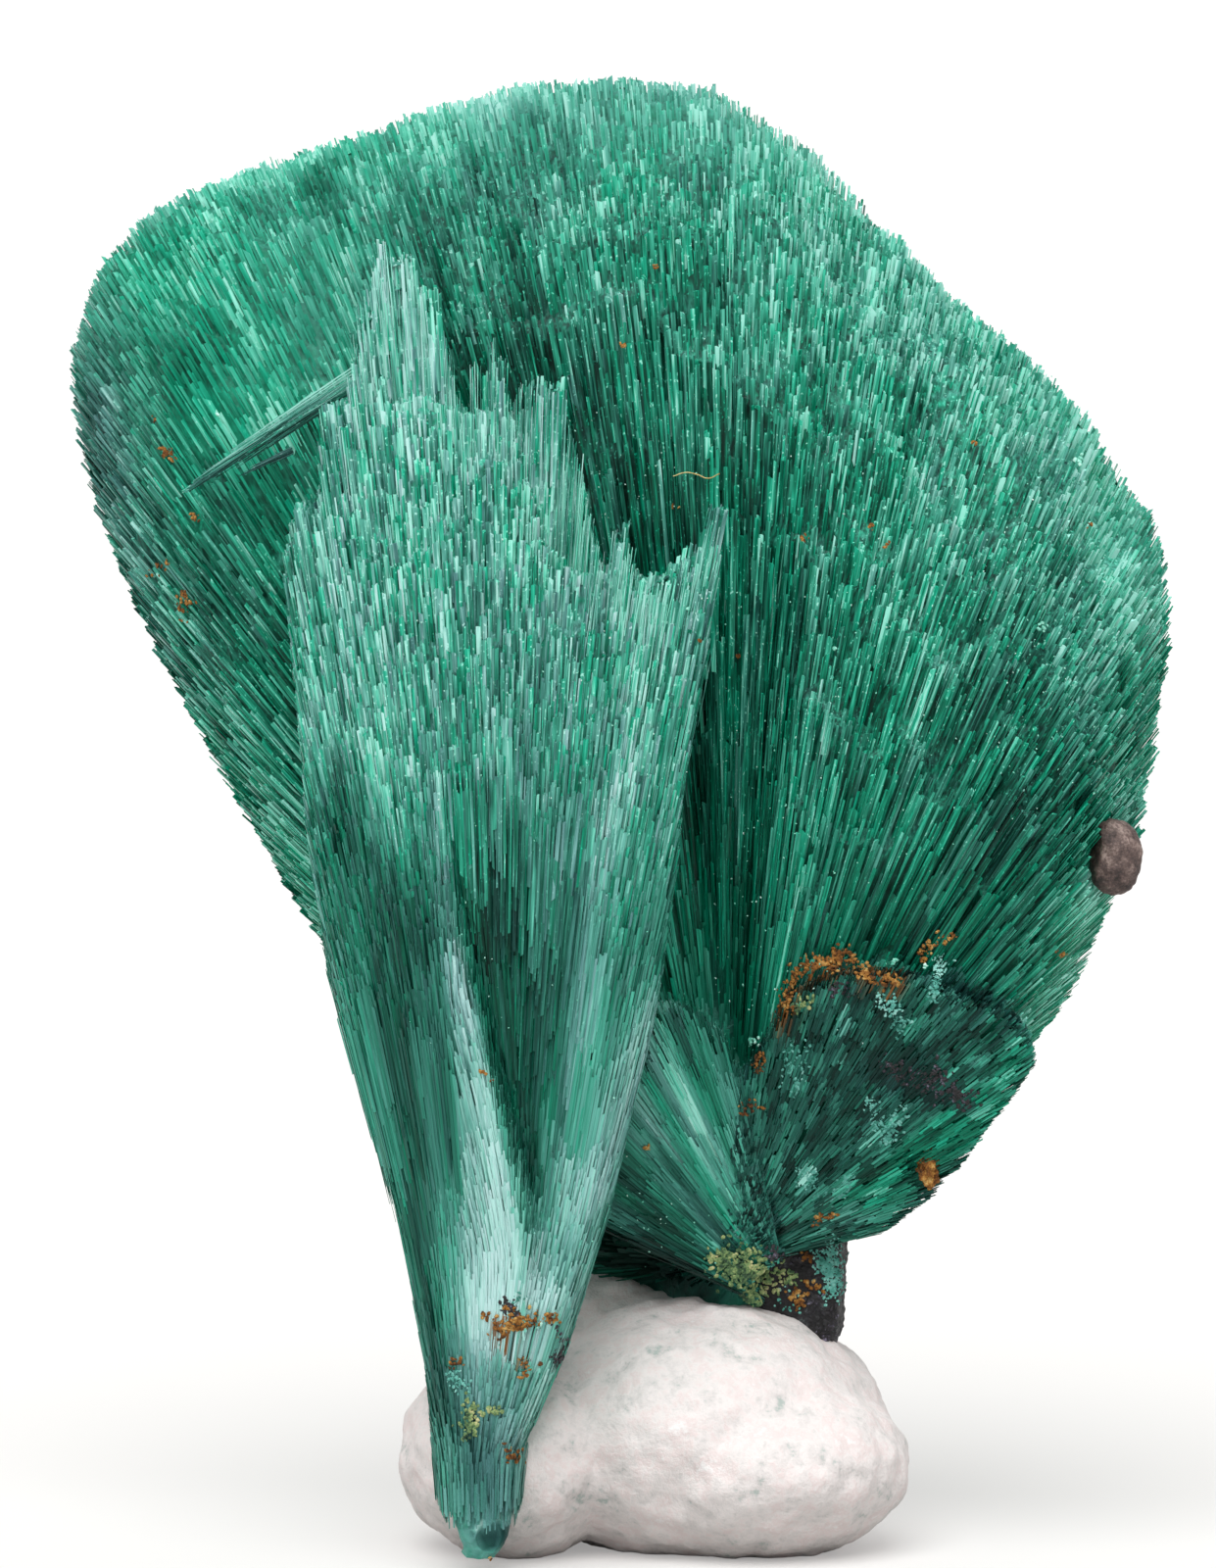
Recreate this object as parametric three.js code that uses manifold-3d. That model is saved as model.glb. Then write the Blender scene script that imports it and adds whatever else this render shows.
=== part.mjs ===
// A fibrous malachite specimen, 30 mm tall. Two sprays of needle crystals stand in a lump of mounting
// putty: a wide fan at the back, and a narrower sheaf in front of it whose foot runs down the putty.
// A rusty nodule sits on the fan's right edge, a small ochre lump on its lower edge, and a dark piece
// of the mother rock at its root.
// Millimetres, +Z up, seen from -Y. The origin is under the middle of the specimen, on the table.

import * as THREE from "three";
import { mergeVertices } from "three/addons/utils/BufferGeometryUtils.js";
import Module from "manifold-3d";

const wasm = await Module();
wasm.setup();

// Driving dimensions

const clearance = 0.3; // between the sprays and the putty that holds them
const smallClearance = 0.12; // round the small lumps, which are about 1 mm across

const fanRoot = new THREE.Vector3(2.25, 0.3, 5.7); // where the back fan's fibres meet
const fanNeck = 0.7; // the fan's solid starts this far from its root
// The back fan's outline: angle from upright, positive to the right, and length of the fibres there
const fanRim = [
  [-66, 4.6], [-58, 7.6], [-52, 11.0], [-48, 13.2], [-44, 16.6], [-40, 20.4], [-36, 23.0],
  [-32, 24.1], [-28, 24.5], [-22, 24.2], [-14, 24.0], [-6, 24.1], [-1, 23.9], [3, 22.9], [8, 21.2],
  [13, 20.0], [18, 19.3], [23, 18.6], [28, 17.7], [33, 16.3], [38, 14.1], [43, 12.2], [48, 10.2],
  [54, 7.6], [60, 5.6], [68, 4.0], [74, 2.9],
];
const fanTurn = 0.13; // the fan is turned so that its left side lies further back
// Depth of the fan's two faces from its middle plane, by the share of the way out to the rim
const fanFront = [
  [0, 0.9], [0.25, 1.9], [0.5, 2.5], [0.66, 2.55], [0.78, 2.2], [0.88, 1.3], [0.95, 0.2], [1, -1.1],
];
const fanBack = [
  [0, 0.9], [0.25, 1.9], [0.5, 2.9], [0.75, 3.6], [0.9, 3.7], [1, 3.0],
];
const fanRibs = 34;

// The plate in front of the fan's lower right: angle and length of its fibres, from the fan's root
const plateRim = [
  [5, 4.4], [10, 5.7], [18, 6.6], [30, 7.4], [42, 7.7], [52, 8.0], [60, 5.9], [68, 4.5], [76, 3.3],
];

// The short spray that leans left, from its own place in the root: angle and length of its fibres
const sprayRoot = new THREE.Vector3(3.6, -0.3, 4.7);
const sprayRim = [[-64, 4.7], [-56, 5.6], [-46, 6.4], [-36, 6.9], [-27, 7.2], [-20, 7.1], [-14, 6.2]];

const sheafRoot = new THREE.Vector3(-2.35, -4.3, -0.6); // where the front sheaf's fibres would meet
const sheafFoot = 0.3; // height of the foot's end above the table
// The front sheaf's sides: height, left edge, right edge
const sheafSides = [
  [0.3, -3.15, -2.5], [0.7, -3.45, -2.2], [1.9, -3.8, -2.0], [2.9, -3.82, -1.8], [3.9, -3.85, -1.4],
  [4.5, -3.97, -1.0], [5.5, -4.15, -0.7], [6.9, -4.25, -0.3], [8.3, -4.65, 0.05], [9.9, -5.1, 0.35],
  [11.1, -5.6, 0.7], [12.2, -5.97, 1.1], [13.8, -6.15, 1.15], [15.4, -6.3, 1.2], [16.9, -6.4, 1.45],
  [18.5, -6.57, 1.75], [20, -6.65, 1.9], [27, -8.1, 3.3],
];
// Height of its broken top edge, by the share of its width from the left
const sheafTop = [
  [0, 20.3], [0.05, 20.9], [0.08, 21.4], [0.125, 22.8], [0.17, 23.6], [0.22, 25.0], [0.27, 25.9],
  [0.33, 25.9], [0.375, 25.4], [0.4, 24.2], [0.43, 23.3], [0.48, 23.7], [0.54, 23.2], [0.6, 23.6],
  [0.64, 22.9], [0.67, 21.7], [0.7, 20.4], [0.76, 20.0], [0.82, 20.1], [0.88, 19.8], [0.93, 20.1],
  [1, 20.6],
];
// Its two faces by height: the front one bulges, then slopes back to a thin top
const sheafFront = [
  [0.3, -4.8], [1.2, -5.2], [4, -5.4], [7, -5.6], [11, -5.75], [15, -5.6], [18, -5.1], [21, -4.3],
  [24, -3.4], [26, -2.7], [27, -2.5],
];
const sheafBack = [
  [0.3, -4.1], [1.2, -3.5], [4, -3.0], [9, -2.75], [15, -2.5], [21, -2.2], [27, -1.75],
];
// The line down the sheaf's face that is a sharp crest in its middle, with a gully to the right of it:
// height, place, and how deep the gully is there
const crest = [
  [0.3, -2.83, 0], [4.5, -2.2, 0], [6.4, -1.6, 0.1], [7.2, -1.72, 0.6], [9, -2.15, 1.0],
  [11, -2.7, 1.0], [13, -3.3, 0.75], [14.8, -3.85, 0.3], [17, -4.2, 0], [20, -4.35, 0], [27, -4.8, 0],
];
// The gully's depth across, from the crest to the sheaf's right edge, as a share of the depth
const gullyAcross = [[0, 0], [0.08, 0.8], [0.25, 1], [0.5, 0.7], [0.78, 0], [0.9, 0], [1, 0.2]];
const sheafRibs = 16;
const crestRib = 7; // the crest runs between this rib and the one before it
// The splinters that stand up along its top: share of the width, height, width
const spikes = [
  [0.1, 22.2, 0.4], [0.2, 25.2, 0.4], [0.25, 26.0, 0.4], [0.285, 26.65, 0.3], [0.33, 26.45, 0.3],
  [0.365, 25.75, 0.4], [0.49, 24.35, 0.4], [0.565, 23.95, 0.4], [0.61, 23.9, 0.35],
  [0.775, 21.0, 0.28], [0.93, 20.6, 0.3], [0.975, 21.4, 0.32],
];
// The thin blade that sticks out to the left from behind its top: its tip and its buried end
const bladeEnds = [new THREE.Vector3(-8.85, -1.6, 21.6), new THREE.Vector3(-5.0, -2.75, 23.95)];

// The lumps: their middles, half-sizes, how uneven they are, and a number that picks their bumps
const lumps = {
  rock: { place: [3.3, 0.9, 4.95], size: [1.35, 1.5, 1.5], uneven: 0.3, bumps: 20 },
  nodule: { place: [10.05, -2.5, 14.25], size: [0.62, 0.5, 0.84], uneven: 0.12, bumps: 21 },
  ochre: { place: [6.3, -2.2, 7.9], size: [0.28, 0.3, 0.42], uneven: 0.3, bumps: 22 },
  root: { place: [2.1, 0.2, 5.0], size: [1.5, 1.35, 1.25], uneven: 0.12, bumps: 18 },
  rootSide: { place: [0.6, 0.9, 5.95], size: [1.9, 1.1, 1.2], uneven: 0.25, bumps: 19 },
  rustPit: { place: [-1.75, -5.4, 4.75], size: [0.75, 0.45, 0.4], uneven: 0.4, bumps: 17 },
};

// The putty's lobes: their middles and half-sizes
const puttyLobes = [
  { place: [1.65, 0.15, 2.0], size: [4.35, 4.15, 3.25] },
  { place: [-2.15, -0.9, 1.75], size: [2.4, 3.5, 2.35] },
  { place: [2.7, -1.7, 1.0], size: [3.2, 2.8, 1.9] },
];

// Small helpers

// A repeatable value from 0 to 1 for a number
function scatter(number, salt = 0) {
  const s = Math.sin(number * 12.9898 + salt * 78.233) * 43758.5453;
  return s - Math.floor(s);
}

// The value at t on a line through rows of [t, value, ...]
function at(rows, t, column = 1) {
  if (t <= rows[0][0]) return rows[0][column];
  const next = rows.findIndex((row) => row[0] > t);
  if (next < 0) return rows[rows.length - 1][column];
  const [before, after] = [rows[next - 1], rows[next]];
  return THREE.MathUtils.mapLinear(t, before[0], after[0], before[column], after[column]);
}

// 1 at the centre of a hump, falling smoothly to 0 at its half-width
function hump(t, centre, halfWidth) {
  const s = Math.max(0, 1 - Math.abs(t - centre) / halfWidth);
  return s * s * (3 - 2 * s);
}

const between = (a, b, t) => THREE.MathUtils.lerp(a, b, t);
const radians = THREE.MathUtils.degToRad;

function solidOf(geometry) {
  const bare = geometry.clone();
  bare.deleteAttribute("normal");
  bare.deleteAttribute("uv");
  const merged = mergeVertices(bare, 1e-4);
  return new wasm.Manifold(
    new wasm.Mesh({
      numProp: 3,
      vertProperties: new Float32Array(merged.attributes.position.array),
      triVerts: new Uint32Array(merged.index.array),
    }),
  );
}

function joined(solids) {
  if (solids.length === 1) return solids[0];
  const half = Math.ceil(solids.length / 2);
  return joined(solids.slice(0, half)).add(joined(solids.slice(half)));
}

function meshOf(solid, name, material) {
  const made = solid.getMesh();
  const geometry = new THREE.BufferGeometry();
  geometry.setAttribute("position", new THREE.BufferAttribute(made.vertProperties, 3));
  geometry.setIndex(new THREE.BufferAttribute(made.triVerts, 1));
  geometry.computeVertexNormals();
  const mesh = new THREE.Mesh(geometry, material);
  mesh.name = name;
  return mesh;
}

// A block whose points are moved: across from left to right, up along the fibres, deep to the back
function shapedBlock(acrossSteps, upSteps, deepSteps, place) {
  const block = new THREE.BoxGeometry(1, 1, 1, acrossSteps, deepSteps, upSteps);
  const points = block.attributes.position;
  for (let i = 0; i < points.count; i++) {
    const [x, y, z] = [points.getX(i), points.getY(i), points.getZ(i)];
    const moved = place(x + 0.5, z + 0.5, y + 0.5);
    points.setXYZ(i, moved.x, moved.y, moved.z);
  }
  return solidOf(block);
}

// A block made of ribs that run up its two faces. Each rib is a row of needle bundles, one behind the
// other: where one ends there is a step down to the next, at a different height on every rib. Below
// the lowest step the ribs are plain, with points at the given shares of the height.
// place gets the share across, the share up, the depth from front to back, how far the point stands
// out of the face, and its rib's chance, a number from 0 to 1.
const ribSlope = 0.16; // the share of a rib's width that slopes down to the next rib
const highestStep = 0.97;
const stepRise = 0.012; // how far along the fibres a step takes

function ribbedBlock({ ribs, plain, lowestStep, steps, deepSteps }, place) {
  const columns = 2 * ribs - 1;
  const rows = plain.length + 2 * steps + 1;
  return shapedBlock(columns, rows, deepSteps, (acrossShare, upShare, deep) => {
    const [column, row] = [Math.round(acrossShare * columns), Math.round(upShare * rows)];
    const rib = Math.floor(column / 2);
    const inRib = (rib + (column % 2 ? 1 - ribSlope : ribSlope)) / ribs;
    const across = column === 0 || column === columns ? acrossShare : inRib;
    const chance = scatter(rib, 1);
    if (row === 0 || row === rows) return place(across, upShare, deep, 0, scatter(rib + deep, 1));
    if (row <= plain.length) return place(across, plain[row - 1], deep, 0, chance);
    const stepRow = row - plain.length;
    const step = Math.ceil(stepRow / 2);
    const seed = 40 * rib + step + (deep < 0.5 ? 0 : 0.5);
    const end = between(lowestStep, highestStep, (step - 0.9 + 0.8 * scatter(seed, 2)) / steps);
    const isEnd = stepRow % 2 === 1;
    const standsOut = isEnd ? 0.1 + 0.9 * scatter(seed, 3) : -0.25 + 0.3 * scatter(seed, 3);
    return place(across, isEnd ? end : end + stepRise, deep, standsOut, chance);
  });
}

// A splinter: one flat bar that widens from the root to a slanting tip
function bar(root, tip, length, width, depth, twist, slant) {
  const narrowing = 1 - length / tip.distanceTo(root);
  const shape = new THREE.BoxGeometry(width, length, depth);
  const points = shape.attributes.position;
  for (let i = 0; i < points.count; i++) {
    const top = points.getY(i) > 0;
    if (top) points.setY(i, points.getY(i) + slant * points.getX(i));
    else points.setXYZ(i, points.getX(i) * narrowing, points.getY(i), points.getZ(i) * narrowing);
  }
  shape.translate(0, -length / 2, 0);
  shape.rotateY(twist);
  const along = tip.clone().sub(root).normalize();
  const sideways = new THREE.Vector3(0, -1, 0).cross(along).negate().normalize();
  const outwards = sideways.clone().cross(along);
  shape.applyMatrix4(new THREE.Matrix4().makeBasis(sideways, along, outwards));
  shape.translate(tip.x, tip.y, tip.z);
  return solidOf(shape);
}

// A lump, or with a margin the bigger one that cuts a place for it in its neighbour
function lump({ place, size, uneven, bumps }, margin = 0) {
  const ball = new THREE.IcosahedronGeometry(1, 1);
  const points = ball.attributes.position;
  const [middle, halfSize] = [new THREE.Vector3(...place), new THREE.Vector3(...size).addScalar(margin)];
  for (let i = 0; i < points.count; i++) {
    const p = new THREE.Vector3().fromBufferAttribute(points, i);
    const key = Math.round(p.x * 50) + 131 * Math.round(p.y * 50) + 617 * Math.round(p.z * 50);
    p.multiplyScalar(1 + uneven * (scatter(key, bumps) - 0.5)).multiply(halfSize).add(middle);
    points.setXYZ(i, p.x, p.y, p.z);
  }
  return solidOf(ball);
}

// The back fan: a wide block of fibres that spread from one root

function fanFaces(angle, share) {
  const out = between(fanNeck, at(fanRim, angle), share);
  const middle = -fanTurn * out * Math.sin(radians(angle));
  const valley = 1.15 * hump(angle, -5, 12) * hump(share, 0.45, 0.42);
  const rightLobe = 0.7 * hump(angle, 14, 16) * hump(share, 0.4, 0.45);
  const rightShoulder = 0.85 * hump(angle, 36, 24) * hump(share, 0.75, 0.4);
  const leftHollow = 0.5 * hump(angle, -42, 12) * hump(share, 0.6, 0.5);
  const thinner = Math.min(1, 0.35 + at(fanRim, angle) / 22); // where the fibres are short
  return {
    front: middle - thinner * at(fanFront, share) + valley + leftHollow - rightLobe - rightShoulder,
    back: middle + thinner * at(fanBack, share),
  };
}

function backFan() {
  const layout = { ribs: fanRibs, plain: [0.13], lowestStep: 0.28, steps: 6, deepSteps: 3 };
  const body = ribbedBlock(layout, (across, up, deep, standsOut, chance) => {
    const angle = between(fanRim[0][0], fanRim[fanRim.length - 1][0], across);
    const out = between(fanNeck, at(fanRim, angle) + 0.6 * (chance - 0.35), up);
    const { front, back } = fanFaces(angle, up);
    const proud = 0.32 * standsOut * Math.min(1, out / 8) * (deep > 0.5 ? 1 : -1);
    return new THREE.Vector3(
      fanRoot.x + out * Math.sin(radians(angle)),
      fanRoot.y + between(front, back, deep) + proud,
      fanRoot.z + out * Math.cos(radians(angle)),
    );
  });
  return joined([body, lowPlate(), lowSpray(), lump(lumps.root), lump(lumps.rootSide)]);
}

// The dark plate in front of the fan's lower right: it leans out, and its top edge is a ledge
function lowPlate() {
  const layout = { ribs: 10, plain: [], lowestStep: 0.4, steps: 2, deepSteps: 1 };
  return ribbedBlock(layout, (across, up, deep, standsOut, chance) => {
    const angle = between(5, 76, across);
    const out = between(0.5, at(plateRim, angle) + 0.35 * (chance - 0.5), up);
    const front = -1.0 - 0.4 * out + 0.5 * hump(angle, 76, 30) - 0.15 * standsOut;
    return new THREE.Vector3(
      fanRoot.x + out * Math.sin(radians(angle)),
      fanRoot.y + between(front, -0.4, deep),
      fanRoot.z + out * Math.cos(radians(angle)),
    );
  });
}

// The short spray that leans left behind the sheaf, from its own place in the root
function lowSpray() {
  const layout = { ribs: 9, plain: [], lowestStep: 0.45, steps: 2, deepSteps: 1 };
  return ribbedBlock(layout, (across, up, deep, standsOut, chance) => {
    const angle = between(-64, -14, across);
    const out = between(1.2, at(sprayRim, angle) + 0.5 * (chance - 0.5), up);
    return new THREE.Vector3(
      sprayRoot.x + out * Math.sin(radians(angle)),
      sprayRoot.y + between(-0.9 - 0.19 * out - 0.15 * standsOut, 0.5, deep),
      sprayRoot.z + out * Math.cos(radians(angle)),
    );
  });
}

// The front sheaf: narrow at the foot, wide and thin at its broken top

const crestShare = crestRib / sheafRibs;

// A point of the sheaf's block. The block can be made bigger all round, to cut its place in the putty
function sheafPoint(across, up, deep, bigger = 0) {
  const z = between(sheafFoot - bigger, at(sheafTop, across), up);
  const [left, right] = [at(sheafSides, z) - bigger, at(sheafSides, z, 2) + bigger];
  const [line, drop] = [at(crest, z), at(crest, z, 2)];
  const pastCrest = Math.max(0, (across - crestShare) / (1 - crestShare));
  const x = pastCrest > 0 ? between(line, right, pastCrest) : between(left, line, across / crestShare);
  const raised = pastCrest > 0 ? 0 : 0.35 * drop * hump(across, crestShare, 0.3);
  const front = at(sheafFront, z) + drop * at(gullyAcross, pastCrest) - raised - bigger;
  const back = at(sheafBack, z) + bigger;
  const middle = between(front, back, 0.62);
  const rounded = 1 - Math.pow(Math.abs(2 * across - 1), 3);
  return new THREE.Vector3(x, between(between(middle, front, 0.35 + 0.65 * rounded), back, deep), z);
}

function frontSheaf() {
  const plain = [0.018, 0.07, 0.15, 0.2];
  const layout = { ribs: sheafRibs, plain, lowestStep: 0.24, steps: 6, deepSteps: 1 };
  const body = ribbedBlock(layout, (across, up, deep, standsOut, chance) => {
    const point = sheafPoint(across, up, deep);
    const inside = across > 0 && across < 1 ? 1 : 0;
    point.y += 0.011 * (3 + point.z) * standsOut * inside * (deep > 0.5 ? 1 : -1);
    point.z += up === 1 ? 0.7 * (chance - 0.5) * inside : 0;
    return point;
  });

  const splinters = spikes.map(([across, height, width], i) => {
    const x = between(at(sheafSides, height), at(sheafSides, height, 2), across);
    const y = between(at(sheafFront, height), at(sheafBack, height), 0.45);
    const tip = new THREE.Vector3(x, y, height);
    return bar(sheafRoot, tip, 3 + scatter(i, 10), width, width, 0.6 * scatter(i, 11), 0.5);
  });

  const [bladeTip, bladeTail] = bladeEnds;
  const halfBlade = 0.7 * bladeTip.distanceTo(bladeTail); // with some overlap
  const blade = bar(bladeTail, bladeTip, halfBlade, 0.42, 0.34, 0.2, 1.2);
  const bladeStem = bar(bladeTip, bladeTail, halfBlade, 0.4, 0.34, 0.2, 0);
  return joined([body, ...splinters, blade, bladeStem]).subtract(lump(lumps.rustPit));
}

// The putty: a squashed lump with a second lobe behind the sheaf's foot

function putty() {
  const lobes = puttyLobes.map(({ place, size }) => {
    const ball = new THREE.SphereGeometry(1, 18, 10);
    ball.rotateX(Math.PI / 2);
    ball.scale(...size);
    ball.translate(...place);
    return solidOf(ball);
  });
  const belowTable = new THREE.BoxGeometry(30, 30, 10);
  belowTable.translate(0, 0, -5);
  return joined(lobes)
    .subtract(solidOf(belowTable))
    .subtract(shapedBlock(8, 12, 1, (...place) => sheafPoint(...place, clearance)))
    .subtract(lump(lumps.root, clearance))
    .subtract(lump(lumps.rootSide, clearance))
    .subtract(lump(lumps.rock, clearance));
}

// Finishes

const malachite = new THREE.MeshStandardMaterial({ color: "#1f7a5f", roughness: 0.45, metalness: 0 });
const paleMalachite = new THREE.MeshStandardMaterial({ color: "#5fa596", roughness: 0.4, metalness: 0 });
const darkRock = new THREE.MeshStandardMaterial({ color: "#3a3436", roughness: 0.8, metalness: 0 });
const ironNodule = new THREE.MeshStandardMaterial({ color: "#5b4a46", roughness: 0.6, metalness: 0 });
const ochre = new THREE.MeshStandardMaterial({ color: "#a5611f", roughness: 0.9, metalness: 0 });
const puttyWhite = new THREE.MeshStandardMaterial({ color: "#e6e0de", roughness: 0.75, metalness: 0 });

// The specimen

const fan = backFan()
  .subtract(lump(lumps.nodule, smallClearance))
  .subtract(lump(lumps.ochre, smallClearance))
  .subtract(lump(lumps.rock, smallClearance));

const specimen = new THREE.Group();
specimen.add(
  meshOf(fan, "back_fan", malachite),
  meshOf(frontSheaf(), "front_sheaf", paleMalachite),
  meshOf(lump(lumps.rock), "matrix_rock", darkRock),
  meshOf(lump(lumps.nodule), "iron_nodule", ironNodule),
  meshOf(lump(lumps.ochre), "ochre_lump", ochre),
  meshOf(putty(), "putty_base", puttyWhite),
);

export default specimen;
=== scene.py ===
from math import ceil, cos, radians, sin, sqrt

import bpy
import numpy as np
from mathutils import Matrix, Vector
from mathutils.bvhtree import BVHTree


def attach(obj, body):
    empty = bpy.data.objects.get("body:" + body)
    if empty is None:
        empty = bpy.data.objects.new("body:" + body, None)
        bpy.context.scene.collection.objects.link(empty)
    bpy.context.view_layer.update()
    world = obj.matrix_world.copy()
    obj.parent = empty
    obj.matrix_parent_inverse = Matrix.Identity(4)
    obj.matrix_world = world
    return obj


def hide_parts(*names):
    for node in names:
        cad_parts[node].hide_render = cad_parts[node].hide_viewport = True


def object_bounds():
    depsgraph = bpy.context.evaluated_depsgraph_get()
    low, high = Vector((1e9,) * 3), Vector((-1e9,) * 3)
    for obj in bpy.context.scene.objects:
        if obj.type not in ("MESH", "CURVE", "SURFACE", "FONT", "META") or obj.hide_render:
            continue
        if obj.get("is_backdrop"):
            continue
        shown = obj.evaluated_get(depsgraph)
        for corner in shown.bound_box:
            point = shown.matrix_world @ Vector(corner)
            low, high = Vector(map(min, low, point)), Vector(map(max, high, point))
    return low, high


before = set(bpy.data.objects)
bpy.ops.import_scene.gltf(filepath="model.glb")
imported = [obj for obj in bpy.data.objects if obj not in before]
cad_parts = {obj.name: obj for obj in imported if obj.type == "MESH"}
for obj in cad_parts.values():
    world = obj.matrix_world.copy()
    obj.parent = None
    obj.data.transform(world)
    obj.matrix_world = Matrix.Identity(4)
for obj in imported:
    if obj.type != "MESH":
        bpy.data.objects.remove(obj)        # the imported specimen: each node sits at the origin, its place in its mesh
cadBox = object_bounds()
mm = 0.001               # lengths below are in millimetres, Blender's own are metres

print("frame loaded:", ", ".join(sorted(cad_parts)))


# Camera: almost level, close up with a long lens, aimed at the middle of the specimen
camera = dict(
    target=(-0.23, 0.0, 15.56),
    distance=231.0,
    elevation=5.0,
    frameHeight=32.0,    # what the upright picture takes in at the target
    sensor=36.0,         # Blender fits this to the picture's long side
)


def placeCamera():
    tilt = radians(camera["elevation"])
    back = Vector((0, -cos(tilt), sin(tilt)))
    place = (Vector(camera["target"]) + back * camera["distance"]) * mm
    bpy.ops.object.camera_add(location=place, rotation=(-back).to_track_quat("-Z", "Y").to_euler())
    seen = bpy.context.object
    seen.name = "close_up_camera"
    seen.data.sensor_width = camera["sensor"]
    seen.data.lens = camera["sensor"] * camera["distance"] / camera["frameHeight"]
    seen.data.clip_start = 10 * mm
    bpy.context.scene.camera = seen


placeCamera()


# Materials

def toLinear(hexColour):
    parts = [int(hexColour[i:i + 2], 16) / 255 for i in (1, 3, 5)]
    return [c / 12.92 if c <= 0.04045 else ((c + 0.055) / 1.055) ** 2.4 for c in parts] + [1.0]


# Adds one node: inputs gives its sockets a value or a link, stops fills a colour ramp
def addNode(tree, kind, inputs=None, stops=(), **settings):
    node = tree.nodes.new("ShaderNode" + kind)
    for name, value in settings.items():
        setattr(node, name, value)
    for name, value in (inputs or {}).items():
        if isinstance(value, bpy.types.NodeSocket):
            tree.links.new(value, node.inputs[name])
        else:
            node.inputs[name].default_value = value
    for i, (place, colour) in enumerate(stops):
        ramp = node.color_ramp.elements
        element = ramp[i] if i < 2 else ramp.new(place)
        element.position, element.color = place, toLinear(colour)
    return node


def newMaterial(name):
    material = bpy.data.materials.new(name)
    material.use_nodes = True
    material.node_tree.nodes.clear()
    return material, material.node_tree


# The nodes that come up again and again, each given back as its output socket

def mathNode(tree, operation, *values):
    return addNode(tree, "Math", dict(enumerate(values)), operation=operation).outputs[0]


def rangeNode(tree, value, start, end, low=0.0, high=1.0):
    return addNode(tree, "MapRange", {
        "Value": value, "From Min": start, "From Max": end, "To Min": low, "To Max": high,
    }).outputs[0]


def noiseNode(tree, vector, scale, detail, roughness=0.5):
    return addNode(tree, "TexNoise", {
        "Vector": vector, "Scale": scale, "Detail": detail, "Roughness": roughness,
    }).outputs["Fac"]


def rampNode(tree, value, stops):
    return addNode(tree, "ValToRGB", {"Fac": value}, stops).outputs["Color"]


def mixNode(tree, share, first, second):
    return addNode(tree, "Mix", {0: share, 6: first, 7: second}, data_type="RGBA").outputs[2]


# The shader and the output, with a bump of the given depth in mm
def finishMaterial(tree, colour, height, depth, **shader):
    bump = addNode(tree, "Bump", {"Height": height, "Strength": 1.0, "Distance": depth * mm})
    surface = addNode(tree, "BsdfPrincipled", {
        "Base Color": colour, "Normal": bump.outputs["Normal"],
        **{name.replace("_", " "): value for name, value in shader.items()},
    })
    addNode(tree, "OutputMaterial", {"Surface": surface.outputs["BSDF"]})


# Malachite grown as fibres is silky like satin: every needle mirrors light along its side.
# tone is how light a needle is, painted light and shade included, grey is painted reflection: how far its silk mirrors
# the pale room instead of showing green, and rust how far limonite stains it. along runs from its buried end to its
# tip, across from its lit edge to the one in the gap, and apart is 0 where the fibres lie close.
silk = dict(
    green=[(0.0, "#00150e"), (0.25, "#024b38"), (0.5, "#068263"), (0.7, "#18ad8a"),
           (0.85, "#48ceac"), (1.0, "#9cf2dd")],
    grey=[(0.0, "#0c2223"), (0.25, "#2a5455"), (0.5, "#578a89"), (0.75, "#86b9b7"), (1.0, "#c6ecea")],
    rust="#9a5a20",
    ior=1.66,            # malachite's is 1.66 to 1.91, by direction
    shine=0.3,           # the fine gaps between the fibres swallow much of what they mirror
    shineColour="#a9e6d6",
    lineWidth=0.06,      # mm, the growth lines along a needle, drawn wide enough to show
    lineDepth=0.006, linesClose=0.2,
    speckSize=0.05,      # mm, painted glints where a cleaved end or a crumb flashes, drawn coarser for the same reason
    specks=(0.65, 0.73), glint=0.42,
    # each from, to and how much lighter: a painted highlight at the tip in along, a painted highlight on the lit edge
    # and painted shade on the edge in the gap in across
    tip=(0.94, 1.0, 0.05), litEdge=(0.3, 0.5, 0.12), shadedGapEdge=(-0.35, -0.5, -0.3),
)


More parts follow.
